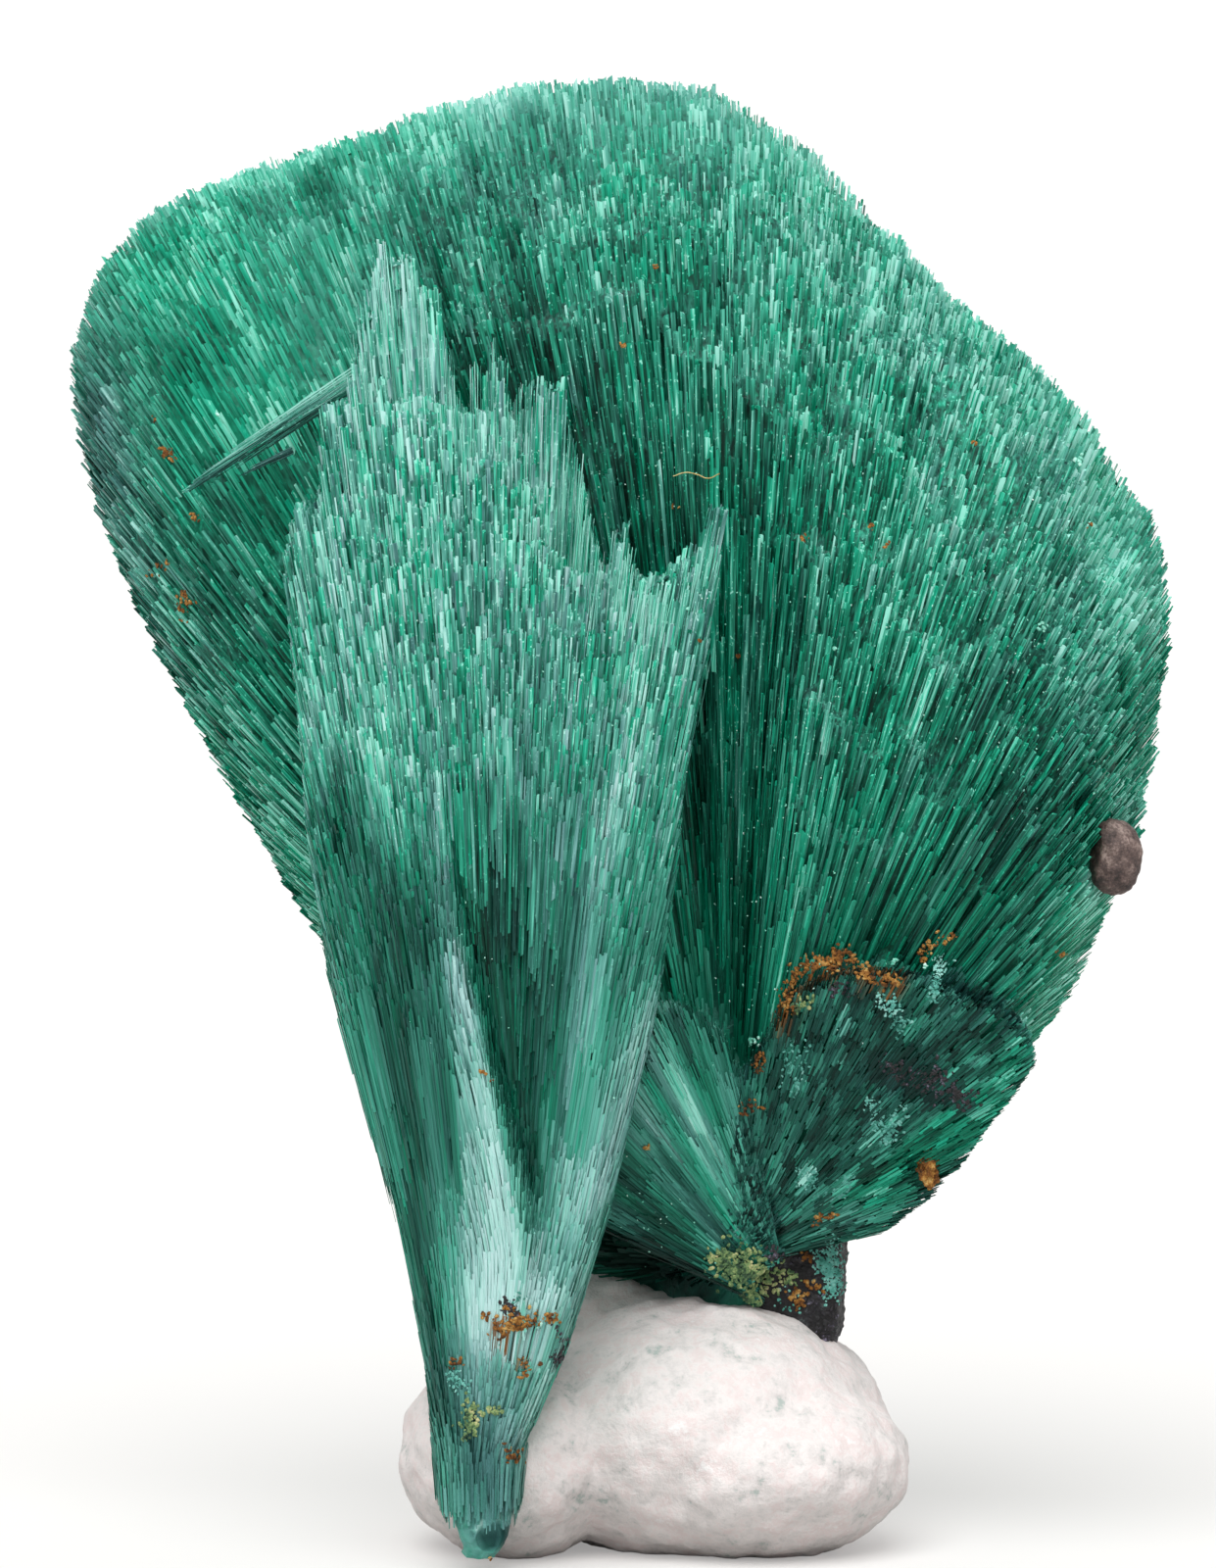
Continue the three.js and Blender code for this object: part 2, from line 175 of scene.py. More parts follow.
def makeSilk(name, lines, roughness):
    material, tree = newMaterial(name)
    tone, grey, rust, apart, along, across = (
        addNode(tree, "Attribute", attribute_name=word).outputs["Fac"]
        for word in ("tone", "grey", "rust", "apart", "along", "across")
    )
    grain = addNode(tree, "Attribute", attribute_name="grain").outputs["Vector"]

    def drawnNoise(size, stretch, detail, unevenness):
        fineness = 1 / size
        drawn = addNode(tree, "Mapping", {
            "Vector": grain, "Scale": (fineness, fineness, stretch * fineness),
        })
        return noiseNode(tree, drawn.outputs["Vector"], 1.0, detail, unevenness)

    fine = drawnNoise(silk["lineWidth"], 0.04, 2.0, 0.65)
    strength = rangeNode(tree, apart, 0.0, 1.0, lines * silk["linesClose"], lines)
    shade = mathNode(tree, "MULTIPLY_ADD", mathNode(tree, "SUBTRACT", fine, 0.5), strength, tone)
    # painted glints: bright specks where the fibres come apart
    speck = rangeNode(tree, drawnNoise(silk["speckSize"], 0.6, 1.0, 0.5), *silk["specks"])
    bright = mathNode(tree, "MULTIPLY", speck, apart)
    shade = mathNode(tree, "MULTIPLY_ADD", bright, silk["glint"], shade)
    # painted highlight at each tip and on each lit edge, painted shade on each edge in the gap
    for attribute, (start, end, amount) in (
        (along, silk["tip"]), (across, silk["litEdge"]), (across, silk["shadedGapEdge"]),
    ):
        shade = mathNode(tree, "ADD", shade, rangeNode(tree, attribute, start, end, 0.0, amount))
    silky = mixNode(tree, grey, rampNode(tree, shade, silk["green"]), rampNode(tree, shade, silk["grey"]))
    stained = mixNode(tree, rust, silky, toLinear(silk["rust"]))
    finishMaterial(tree, stained, fine, silk["lineDepth"],
                   Roughness=roughness, IOR=silk["ior"], Specular_IOR_Level=silk["shine"],
                   Specular_Tint=toLinear(silk["shineColour"]))
    return material


# A rough or earthy finish: colours that change over patches, with grit in between, sizes in mm
def makeEarth(name, colours, patch, grit, gritShare, depth, roughness, ior, shine=0.5):
    material, tree = newMaterial(name)
    place = addNode(tree, "TexCoord").outputs["Object"]
    patches = noiseNode(tree, place, 1 / (patch * mm), 4.0, 0.6)
    rough = noiseNode(tree, place, 1 / (grit * mm), 3.0, 0.7)
    spread = mathNode(tree, "MULTIPLY_ADD", rough, gritShare, -gritShare / 2)
    colour = rampNode(tree, mathNode(tree, "ADD", patches, spread), colours)
    finishMaterial(tree, colour, rough, depth, Roughness=roughness, IOR=ior, Specular_IOR_Level=shine)
    return material


needleSilk = makeSilk("malachiteNeedles", lines=2.0, roughness=0.35)
massSilk = makeSilk("malachiteMass", lines=1.5, roughness=0.5)

# Limonite: an earthy iron rust, dull, from yellow ochre to dark brown
limonite = makeEarth(
    "limoniteRust",
    colours=[(0.32, "#33200f"), (0.45, "#7a4a1a"), (0.56, "#a87430"), (0.7, "#d0ad6a")],
    patch=0.25, grit=0.05, gritShare=0.5, depth=0.03, roughness=0.9, ior=1.5,
)
# Goethite rock: nearly black, a little metallic where broken, with a turquoise bloom
darkRock = makeEarth(
    "goethiteRock",
    colours=[(0.4, "#060507"), (0.52, "#100e11"), (0.62, "#242227"), (0.72, "#55625f")],
    patch=0.5, grit=0.07, gritShare=0.45, depth=0.05, roughness=0.5, ior=1.7, shine=0.25,
)
# Ironstone pebble: fine brown sand grains, rubbed round
ironstone = makeEarth(
    "ironstonePebble",
    colours=[(0.3, "#2f2523"), (0.45, "#54433f"), (0.56, "#6e5b55"), (0.7, "#a08c84")],
    patch=0.4, grit=0.06, gritShare=0.6, depth=0.03, roughness=0.6, ior=1.55,
)
# Mounting putty: matt and white, handled until green dust and pink smears were rolled into it
putty = makeEarth(
    "mountingPutty",
    colours=[(0.26, "#b0bab5"), (0.36, "#d8d2d0"), (0.5, "#e7e0de"), (0.62, "#e4d6d4"), (0.75, "#efebea")],
    patch=0.6, grit=0.14, gritShare=0.45, depth=0.035, roughness=0.6, ior=1.45,
)
# Copper carbonate crust at the root: dull, yellowish to pale green
rootCrust = makeEarth(
    "copperCarbonateCrust",
    colours=[(0.34, "#23402b"), (0.46, "#587a4c"), (0.57, "#8fa568"), (0.7, "#cbc490")],
    patch=0.3, grit=0.06, gritShare=0.6, depth=0.03, roughness=0.9, ior=1.6,
)
# A powdery bloom, pale turquoise, dusted over the dark plate and the rock
paleBloom = makeEarth(
    "turquoiseBloom",
    colours=[(0.32, "#2f7f70"), (0.5, "#5fb0a2"), (0.68, "#9fd8ce")],
    patch=0.3, grit=0.06, gritShare=0.5, depth=0.01, roughness=0.9, ior=1.6,
)
# Goethite: small black crystals with a purple-brown skin, which shine where broken
blackGoethite = makeEarth(
    "blackGoethite",
    colours=[(0.4, "#08060a"), (0.53, "#16121a"), (0.61, "#332d3c"), (0.69, "#7a7489")],
    patch=0.2, grit=0.06, gritShare=0.6, depth=0.02, roughness=0.6, ior=2.2, shine=0.2,
)
# Splinters of malachite and grit that lie loose on the fibres and catch the light
brightChips = makeEarth(
    "looseChips",
    colours=[(0.35, "#58c3a6"), (0.52, "#93e2cc"), (0.72, "#ecfaf5")],
    patch=0.6, grit=0.1, gritShare=0.4, depth=0.005, roughness=0.15, ior=1.7,
)
# A cotton fibre, yellowed
cotton = makeEarth(
    "yellowedCotton",
    colours=[(0.3, "#b48b3c"), (0.6, "#e6cf8e")],
    patch=0.3, grit=0.05, gritShare=0.3, depth=0.004, roughness=0.6, ior=1.5,
)

print("materials made")


# Small tools for meshes

def deselect():
    bpy.ops.object.select_all(action="DESELECT")


def only(obj):
    deselect()
    obj.select_set(True)
    bpy.context.view_layer.objects.active = obj
    return obj


def editMode(begins):
    bpy.ops.object.mode_set(mode="EDIT" if begins else "OBJECT")


# Cuts off what lies on one side of a plane and closes the cut, in edit mode
def cutAway(place, facing, **side):
    bpy.ops.mesh.select_all(action="SELECT")
    bpy.ops.mesh.bisect(plane_co=[c * mm for c in place], plane_no=facing, use_fill=True,
                        threshold=1e-7, **side)


def modified(obj, kind, **settings):
    only(obj)
    modifier = obj.modifiers.new(kind, kind)
    for name, value in settings.items():
        setattr(modifier, name, value)
    bpy.ops.object.modifier_apply(modifier=modifier.name)
    return obj


# Pushed in and out by clouds of the given size and strength in mm
def displaced(obj, size, strength):
    clouds = bpy.data.textures.new("clouds", "CLOUDS")
    clouds.noise_scale, clouds.noise_depth = size * mm, 2
    modified(obj, "DISPLACE", texture=clouds, strength=strength * mm, mid_level=0.5, texture_coords="LOCAL")


def atOrigin(obj):
    only(obj)
    bpy.ops.object.transform_apply(location=True, rotation=True, scale=True)
    return obj


# A value from 0 to 1 for each cell of a grid, the same on every run
def cellValue(cells, seed):
    key = (cells.astype(np.int64) * np.array([73856093, 19349663, 83492791])).sum(axis=1) + seed * 7919
    key = (key ^ (key >> 13)) * 1274126177
    return ((key ^ (key >> 16)) & 0xFFFF) / 0xFFFF


# The same, blended smoothly from cell to cell
def softNoise(points, seed):
    cell = np.floor(points)
    part = points - cell
    part = part * part * (3 - 2 * part)
    total = np.zeros(len(points))
    for corner in range(8):
        step = np.array([corner & 1, corner >> 1 & 1, corner >> 2 & 1])
        share = np.prod(np.where(step == 1, part, 1 - part), axis=1)
        total += share * cellValue(cell + step, seed)
    return total


def unit(vectors):
    return vectors / np.maximum(np.linalg.norm(vectors, axis=-1, keepdims=True), 1e-9)


# Places as two angles round a root and the way out from it, so that patterns follow the fibres.
# The angles are given as the mm that they span at the usual reach.
def fannedOut(points, root, usualReach=12):
    away = points - np.array(root)
    flat = np.hypot(away[..., 0], away[..., 2])
    turned = np.arctan2(away[..., 0], away[..., 2])
    raised = np.arctan2(away[..., 1], flat)
    return np.stack([turned * usualReach, raised * usualReach, np.linalg.norm(away, axis=-1)], axis=-1)


# Models that are stamped by the thousand. Each is read as points and faces, then put away.
# Spheres come with their faces in no fixed order, so these are put in one.

def takeShape():
    obj = bpy.context.object
    points = np.array([v.co[:] for v in obj.data.vertices])
    faces = [tuple(p.vertices) for p in obj.data.polygons]
    firsts = [face.index(min(face)) for face in faces]
    bpy.data.objects.remove(obj)
    return points, sorted(face[first:] + face[:first] for face, first in zip(faces, firsts))


# A three-sided bar one unit long below the origin, a flat side outwards, its tip drawn in to a share
def modelLath(tip):
    deselect()
    sideOne = 0.577          # the radius at which each side of the bar is one unit wide
    bpy.ops.mesh.primitive_cylinder_add(vertices=3, radius=sideOne, depth=1, location=(0, 0, -0.5),
                                        rotation=(0, 0, radians(180)))
    atOrigin(bpy.context.object)
    for polygon in bpy.context.object.data.polygons:
        polygon.select = polygon.normal.z > 0.5
    editMode(True)
    bpy.ops.transform.resize(value=(tip, tip, 1), center_override=(0, 0, 0))
    editMode(False)
    return takeShape()


def modelGrain(around, rings, unevenness, seed):
    deselect()
    bpy.ops.mesh.primitive_uv_sphere_add(segments=around, ring_count=rings, radius=0.5)
    editMode(True)
    bpy.ops.transform.vertex_random(offset=unevenness, seed=seed)
    editMode(False)
    return takeShape()


shapes = dict(
    lath=modelLath(0.8),
    splinter=modelLath(0.15),
    grain=modelGrain(7, 5, 0.13, 3),
    crumb=modelGrain(5, 4, 0.12, 4),
)


def readAll(items, word, width=3):
    values = np.empty(len(items) * width, np.float32)
    items.foreach_get(word, values)
    return values.reshape(-1, width).astype(float)


def writeAll(items, word, values):
    items.foreach_set(word, values.astype(np.float32).ravel())


# The numbers and the grain that a silk material reads
def giveAttributes(mesh, numbers, grain):
    for word, values in numbers.items():
        writeAll(mesh.attributes.new(word, "FLOAT", "POINT").data, "value", values)
    writeAll(mesh.attributes.new("grain", "FLOAT_VECTOR", "POINT").data, "vector", grain)


# Joins one copy of a shape for each place. axes holds the three sides of each copy, and values
# the numbers that its material reads. OFBake gives each copy a small square of its own.
def stampCopies(name, shape, places, axes, material, values=None, drawn=None):
    shapePoints, shapeFaces = shape
    count, size = len(places), len(shapePoints)
    points = places[:, None, :] + np.einsum("pk,nkj->npj", shapePoints, axes)
    mesh = bpy.data.meshes.new(name)
    mesh.vertices.add(count * size)
    writeAll(mesh.vertices, "co", points * mm)
    corners = np.concatenate([np.array(f) for f in shapeFaces])
    sides = np.array([len(f) for f in shapeFaces])
    mesh.loops.add(count * len(corners))
    mesh.loops.foreach_set("vertex_index", (np.arange(count)[:, None] * size + corners).ravel())
    starts = np.cumsum(sides) - sides
    mesh.polygons.add(count * len(shapeFaces))
    mesh.polygons.foreach_set("loop_start", (np.arange(count)[:, None] * len(corners) + starts).ravel())
    mesh.update(calc_edges=True)
    mesh.shade_flat()

    faceCells = ceil(sqrt(len(shapeFaces)))
    inFace = np.concatenate([[(0.1, 0.1), (0.9, 0.1), (0.9, 0.9), (0.1, 0.9)][:n] for n in sides])
    faceOf = np.repeat(np.arange(len(sides)), sides)
    inCopy = (inFace + np.stack([faceOf % faceCells, faceOf // faceCells], axis=1)) / faceCells
    cells = ceil(sqrt(count))
    cell = np.stack([np.arange(count) % cells, np.arange(count) // cells], axis=1)
    flat = (cell[:, None, :] + 0.05 + 0.9 * inCopy) / cells
    writeAll(mesh.uv_layers.new(name="OFBake").data, "uv", flat)

    if values:
        numbers = {word: np.repeat(value, size) for word, value in values.items()}
        apart = numbers["apart"]
        numbers["along"] = np.tile(shapePoints[:, 2] + 1, count) * apart
        numbers["across"] = np.tile(shapePoints[:, 0], count) * apart
        giveAttributes(mesh, numbers, drawn(points))
    mesh.materials.append(material)
    obj = bpy.data.objects.new(name, mesh)
    bpy.context.scene.collection.objects.link(obj)
    return obj


# The solid masses, and the fine even skin over each that the needles grow from

def copyNode(node, name, spec):
    copy = bpy.data.objects.new(name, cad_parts[node].data.copy())
    bpy.context.scene.collection.objects.link(copy)
    copy.data.materials.clear()
    only(copy)
    editMode(True)
    bpy.ops.mesh.select_all(action="SELECT")
    bpy.ops.mesh.remove_doubles(threshold=0.001 * mm)
    editMode(False)
    for place, halfSize, turn in spec["trims"]:
        deselect()
        bpy.ops.mesh.primitive_cube_add(size=2 * mm, location=[c * mm for c in place], scale=halfSize,
                                        rotation=(0, radians(turn), 0))
        cutter = atOrigin(bpy.context.object)
        modified(copy, "BOOLEAN", operation="DIFFERENCE", solver="EXACT", object=cutter)
        bpy.data.objects.remove(cutter)
    modified(copy, "REMESH", mode="VOXEL", voxel_size=spec["voxel"] * mm)
    return modified(copy, "SMOOTH", factor=0.5, iterations=spec["smoothing"])


def facesOf(obj):
    faces = obj.data.polygons
    return dict(points=readAll(faces, "center") / mm, normals=readAll(faces, "normal"),
                areas=readAll(faces, "area", 1)[:, 0] / mm ** 2)


# darker is painted shade: how dark the mass grows where the needles cover it
fanBody = dict(voxel=0.16, smoothing=4, shrink=0.25, ridges=0.12, darker=0.6, trims=[])
# Each trim is a box, given as its place, its half size and its turn about Y in degrees
sheafBody = dict(
    voxel=0.1, smoothing=3, shrink=0.16, ridges=0.05, darker=0.7,
    trims=[
        # steps in the left side, and a thinner peak. The blade goes too, it is laid from fibres below
        ((-6.99, -2, 26.21), (2, 6, 2.5), 10),
        ((-9, -2, 23.95), (3, 6, 2.5), 0),
        ((-9.58, -2, 21.3), (3, 6, 0.5), 0),
        ((-1.95, -2, 27.75), (2, 6, 2), 0),
        # the foot narrows under the pit and is chipped at both corners of its end
        ((-0.62, -4, 3.08), (1, 5, 0.98), 26),
        ((-4.36, -4, 0.95), (1, 5, 0.9), -19.5),
        ((-1.83, -4, 0.15), (0.6, 5, 0.5), 41),
    ],
)

fanMass = copyNode("back_fan", "fan_mass", fanBody)
sheafMass = copyNode("front_sheaf", "sheaf_mass", sheafBody)
fanSkin, sheafSkin = facesOf(fanMass), facesOf(sheafMass)
skinTrees = {obj.name: BVHTree.FromObject(obj, bpy.context.evaluated_depsgraph_get())
             for obj in (fanMass, sheafMass)}

print("skins:", len(fanSkin["areas"]), "and", len(sheafSkin["areas"]), "faces")


# A stroke adds its tone and grey to the needles along a line of x, z and half-width. Many strokes paint light and shade
# rather than the fibres' own tone, and their grey is painted reflection. A crisp one ends sharply at that width, any
# other fades away over it, and a patchy one is broken up into spots of that many mm. calm lays the needles close, lean
# turns them and rust stains them.

def brush(tone, grey, *line, **more):
    return dict(tone=tone, grey=grey, line=line, **more)


def strokeWeight(points, stroke):
    line, best = stroke["line"], np.zeros(len(points))
    power = 6 if stroke.get("crisp") else 2
    for (x0, z0, w0), (x1, z1, w1) in zip(line, line[1:]):
        step = np.array([x1 - x0, z1 - z0])
        way = points[:, [0, 2]] - np.array([x0, z0])
        t = np.clip(way @ step / (step @ step), 0, 1)
        away = np.linalg.norm(way - t[:, None] * step, axis=1)
        best = np.maximum(best, np.exp(-(away / (w0 + t * (w1 - w0))) ** power))
    return best


# Where the fibres at each place would meet, by height: a growth that narrows has several roots
def rootOf(points, growth):
    heights, *coordinates = zip(*growth["roots"])
    return np.stack([np.interp(points[:, 2], heights, c) for c in coordinates], axis=1)


# From 0 where the fibres lie close, long and even, to 1 where they come apart
def looseness(points, growth):
    loose = np.interp(np.linalg.norm(points - np.array(growth["centre"]), axis=1), growth["loose"], (0, 1))
    for stroke in growth["strokes"]:
        if "calm" in stroke:
            loose *= 1 - stroke["calm"] * strokeWeight(points, stroke)
    return loose


# The size of each pattern in mm, across the fibres both ways and along them
pattern = dict(
    bundle=(0.9, 0.9, 6), streak=(0.25, 0.25, 2.2), thread=(0.08, 0.08, 1.4), greyBundle=(0.5, 0.5, 3),
    clump=(0.4, 0.4, 3), ridge=(0.4, 0.4, 4), mottle=0.22,
)


# Each needle's tone, grey and rust, from its growth's own values
def paint(points, normals, fibres, growth, random):
    fanned = fannedOut(points, growth["centre"])
    tone = np.full(len(points), growth["tone"], float)
    grey = np.full(len(points), growth["grey"], float)
    rust = np.zeros(len(points))
    front = np.clip(0.7 - normals[:, 1] * 1.5, 0, 1)    # strokes fade away round the back
    for stroke in growth["strokes"]:
        weight = strokeWeight(points, stroke) * front
        if "patchy" in stroke:
            weight *= np.clip(5 * softNoise(points / stroke["patchy"], 9) - 1.9, 0, 1)
        tone += weight * stroke["tone"]
        grey += weight * stroke["grey"]
        rust += weight * stroke.get("rust", 0)
    endOn = np.clip((normals * fibres).sum(axis=1), 0, 1)
    tone += growth["endTone"] * endOn
    grey += growth["endGrey"] * endOn
    tone += growth["bundle"] * (softNoise(fanned / pattern["bundle"], 1) - 0.5)
    tone += growth["streak"] * (softNoise(fanned / pattern["streak"], 2) - 0.5)
    grey += growth["bundle"] * 1.5 * (softNoise(fanned / pattern["greyBundle"], 3) - 0.5)
    tone += growth.get("mottle", 0) * (softNoise(points / pattern["mottle"], 10) - 0.5)
    apart = growth["calm"] + (1 - growth["calm"]) * looseness(points, growth)
    tone += growth["thread"] * (softNoise(fanned / pattern["thread"], 4) - 0.5) * apart
    tone += random.normal(0, growth["toneSpread"], len(points)) * apart
    grey += random.normal(0, growth["greySpread"], len(points)) * apart
    return dict(tone=np.clip(tone, 0, 1), grey=np.clip(grey, 0, 1), rust=np.clip(rust, 0, 1))


# Needles from one skin, all pointing away from their root, their tips a little proud of the skin
def growNeedles(name, skin, chosen, growth, seed, shape="lath"):
    random = np.random.default_rng(seed)
    points, normals, areas = (skin[k][chosen] for k in ("points", "normals", "areas"))
    fibres = unit(points - rootOf(points, growth))
    endOn = np.clip((normals * fibres).sum(axis=1), 0, 1)
    near, far, ends = growth["density"]
    density = near + (far - near) * looseness(points, growth)
    density += (ends - density) * np.clip(endOn * 1.4 - 0.2, 0, 1)
    density = np.where(normals[:, 1] > 0.3, density * growth["backShare"], density)
    copies = np.floor(density * areas + random.random(len(areas))).astype(int)
    pick = np.repeat(np.arange(len(areas)), copies)
    spread = random.normal(0, 1, (len(pick), 3)) * np.sqrt(areas[pick])[:, None] * 0.5
    normal = normals[pick]
    places = points[pick] + spread - (spread * normal).sum(axis=1, keepdims=True) * normal
    return plantNeedles(name, places, normal, growth, random, shape)


# What every needle has in common, lengths in mm
needle = dict(
    thickness=(0.5, 0.9),    # as a share of its width
    shortest=0.25,
    headroom=0.4,            # how much of the way down to the table it may take up
    slant=0.45,              # how steeply its tip is broken off, as a share of its width
    lathLong=1.6, shift=40,
)


# Needles with their tips at the given places, next to a surface that faces along normal. Each one
# leans, rolls and stands out by its own amount, less so where they lie close.
def plantNeedles(name, places, normal, growth, random, shape="lath"):
    count = len(places)
    apart = growth["calm"] + (1 - growth["calm"]) * looseness(places, growth)
    away = places - rootOf(places, growth)
    reach = np.linalg.norm(away, axis=1)
    fibre = unit(away) + random.normal(0, growth["wander"], (count, 3)) * apart[:, None]
    for stroke in growth["strokes"]:
        if "lean" in stroke:
            fibre[:, 0] += stroke["lean"] * strokeWeight(places, stroke)
    fibre = unit(fibre)
    endOn = np.clip((normal * fibre).sum(axis=1), 0, 1)
    facing = normal - (normal * fibre).sum(axis=1, keepdims=True) * fibre
    weak = np.linalg.norm(facing, axis=1) < 0.25
    facing[weak] += np.array([0, -0.5, 0])
    facing -= (facing * fibre).sum(axis=1, keepdims=True) * fibre
    facing = unit(facing)
    side = np.cross(facing, fibre)
    roll = (random.normal(0, growth["roll"], count) * apart)[:, None]
    side, facing = np.cos(roll) * side + np.sin(roll) * facing, np.cos(roll) * facing - np.sin(roll) * side

    low, high = growth["width"]
    width = (low + (high - low) * random.random(count) ** 1.6) * (0.5 + 0.5 * apart)
    thick = width * random.uniform(*needle["thickness"], count) * apart
    shortest, longest = growth["length"]
    length = (shortest + (longest - shortest) * random.random(count) ** 1.5) * (1.4 - 0.4 * apart)
    length = np.minimum(length, np.maximum(reach - growth["buried"], needle["shortest"]))
    headroom = np.maximum(places[:, 2] - growth["lowest"], 0.2) / np.maximum(fibre[:, 2], 0.05)
    length = np.minimum(length, needle["headroom"] * headroom)
    fanned = fannedOut(places, growth["centre"])
    lift = random.normal(growth["lift"], growth["liftSpread"], count) * apart
    lift += growth["clump"] * apart * (softNoise(fanned / pattern["clump"], 7) - 0.6)
    push = random.uniform(-0.05, growth["push"], count) * (0.3 + 0.7 * endOn)

    # neighbours often broke off together, so many tips stand in short rows
    share, wide, step = growth["rows"]
    phase = cellValue(np.floor(fanned / (wide, 3 * wide, 1000)), 5)
    inRow = (np.round(fanned[:, 2] / step + phase) - phase) * step - fanned[:, 2]
    inRow *= np.clip(places[:, 2] - growth["lowest"], 0, 1) * (1 - 0.75 * endOn) * apart
    push += np.where(random.random(count) < share, inRow, 0)
    places = places + normal * lift[:, None] + fibre * push[:, None]
    slant = random.normal(0, needle["slant"], count)
    axes = np.stack([
        side * width[:, None] + fibre * (slant * width)[:, None],
        facing * thick[:, None],
        fibre * length[:, None],
    ], axis=1)
    values = paint(places, normal, fibre, growth, random)
    values["apart"] = looseness(places, growth)
    # each lath of a few needles has growth lines of its own, where they come apart
    laths = np.floor(fanned / (growth["lathWide"], growth["lathWide"], needle["lathLong"]))
    shift = needle["shift"] * cellValue(laths, 6) * (values["apart"] > 0.3)

    def drawn(points):
        return fannedOut(points, growth["centre"]) + shift[:, None, None]

    obj = stampCopies(name, shapes[shape], places, axes, needleSilk, values, drawn)
    print(name, count, "needles")
    return obj


# Where a line of sight from the front first meets one of the surfaces, and which way that faces
def onSurface(x, z, trees):
    hits = []
    for tree in trees:
        place, normal = tree.ray_cast(Vector((x, -20, z)) * mm, Vector((0, 1, 0)))[:2]
        if place:
            hits.append((place.y / mm, normal))
    if not hits:
        return None
    y, normal = min(hits, key=lambda hit: hit[0])
    return np.array([x, y, z]), np.array(normal[:])


# The back fan: deep green, darkest in the valley down its middle, in part its fibres' own darker tone and in part
# painted shade from the sheaf in front, lighter where ends show
fan = dict(
    roots=[(0, 2.25, 0.3, 5.7)], centre=(2.25, 0.3, 5.7), buried=0.8, lowest=0.3,
    density=(14, 13, 50), backShare=0.8, loose=(5, 13), calm=0.5, lathWide=0.14,
    width=(0.04, 0.16), length=(2.4, 5.6), wander=0.014, roll=0.3,
    lift=-0.01, liftSpread=0.025, clump=0.12, push=0.06, rows=(0.55, 0.3, 0.4),
    tone=0.5, grey=0.02, endTone=0.24, endGrey=0.3, bundle=0.22, streak=0.38, thread=0.26,
    toneSpread=0.06, greySpread=0.14,
    strokes=[
        # painted shade down the valley, where the sheaf in front shades the fan
        brush(-0.19, 0, (-3, 25.8, 1.6), (-0.2, 22, 1.8), (1.5, 17.7, 1.5), (2.5, 10.5, 1.2)),
        # painted light, lifting the shade that the sheaf's top casts on the fan beside it
        brush(0.28, 0, (-1.3, 22.4, 0.5), (-0.8, 20.8, 0.5)),
        # painted highlight along the right lobe's ridge, which faces the light
        brush(0.12, 0.06, (3, 10.5, 0.4), (3.5, 13.6, 0.4), (4, 17.6, 0.5), (4.4, 18.8, 0.5)),
        brush(0.05, 0, (2.4, 25.5, 1.4), (3.2, 22.5, 1.2)),
        brush(-0.1, 0.1, (-2.2, 28, 1.2), (-1.4, 25, 1.2), (0, 22.4, 0.9)),
        brush(-0.08, 0, (3.2, 20, 0.8), (3.6, 17.5, 0.8)),
        brush(0.08, 0, (-8.5, 27, 2.2), (-6.5, 22.5, 1.8)),
        brush(0.2, 0, (-5.6, 26.4, 0.6), (-5.4, 24.6, 0.5)),
        brush(0.14, 0, (-7.6, 22.9, 0.4), (-6.2, 23.6, 0.4)),
        brush(0, 0, (-10, 26, 2.6), (-7.8, 22.5, 2.2), (-6.5, 26, 2), calm=0.8),
        brush(0, 0, (-8, 28.3, 1.2), (-2, 29.3, 1.2), (4, 29.3, 1.2), calm=0.7),
        brush(0, 0, (8.6, 25, 0.9), (10.6, 21.5, 0.9), (11, 17, 0.8), calm=0.5),
        brush(-0.04, 0.35, (-11, 22.5, 1.2), (-10, 17.5, 1.2)),
        brush(-0.1, 0.25, (-11, 25.2, 0.7), (-11.1, 21.5, 0.8)),
        brush(0, -0.15, (-9.2, 25.8, 1.5), (-6.8, 23.4, 1.4)),
        # painted shadow of the blade on the fan below it
        brush(-0.22, 0, (-8.3, 21.35, 0.2), (-6.2, 22.8, 0.35)),
        brush(0.14, 0, (-4.9, 27.6, 0.7), (-4.4, 26.4, 0.7)),
        brush(0.18, 0, (3.6, 26.6, 0.8), (3.4, 25.2, 0.7)),
        brush(0.14, 0, (6, 20.6, 0.9), (6.5, 18.4, 0.8)),
        brush(0.12, 0, (10.7, 19.6, 0.6), (10.6, 16.5, 0.7), (9.6, 13.8, 0.8)),
        brush(-0.12, 0, (7.3, 15.8, 0.7), (8.4, 15.2, 0.7)),
        brush(0.22, 0.1, (-3.1, 26.8, 0.6), (-2.9, 25.4, 0.6)),
        brush(0.14, 0, (0.9, 14.7, 0.6), (2.2, 13, 0.7)),
        brush(0.28, 0, (-7.5, 16.4, 0.7), (-6.1, 13.4, 0.6)),
        brush(0.12, 0, (-8.7, 22.9, 0.6), (-7, 23.4, 0.5)),
        brush(0.28, 0.1, (9.4, 21.6, 0.7), (10.4, 19.4, 0.7)),
        brush(-0.2, 0, (8, 18.2, 1), (9.2, 17, 1), (8.4, 14.2, 1.6), (6, 13.2, 1.2)),
        brush(0.3, 0, (10, 13.6, 0.7), (8.6, 10.8, 0.7), (6.6, 8.4, 0.6), calm=0.95),
        brush(0.16, 0.06, (6, 26.5, 1.3), (9, 23, 1.3)),
        brush(0.22, 0.1, (-4, 29.5, 1), (3, 29.5, 1.2), (6.5, 27.5, 1)),
        brush(0.08, 0, (1.2, 12, 0.9), (1.9, 7.5, 0.8)),
        # painted shade under the fan's lower edge by the root
        brush(-0.7, 0, (-1.2, 6.3, 0.6), (0.3, 5.7, 0.6), (1.7, 5.2, 0.4)),
    ],
)
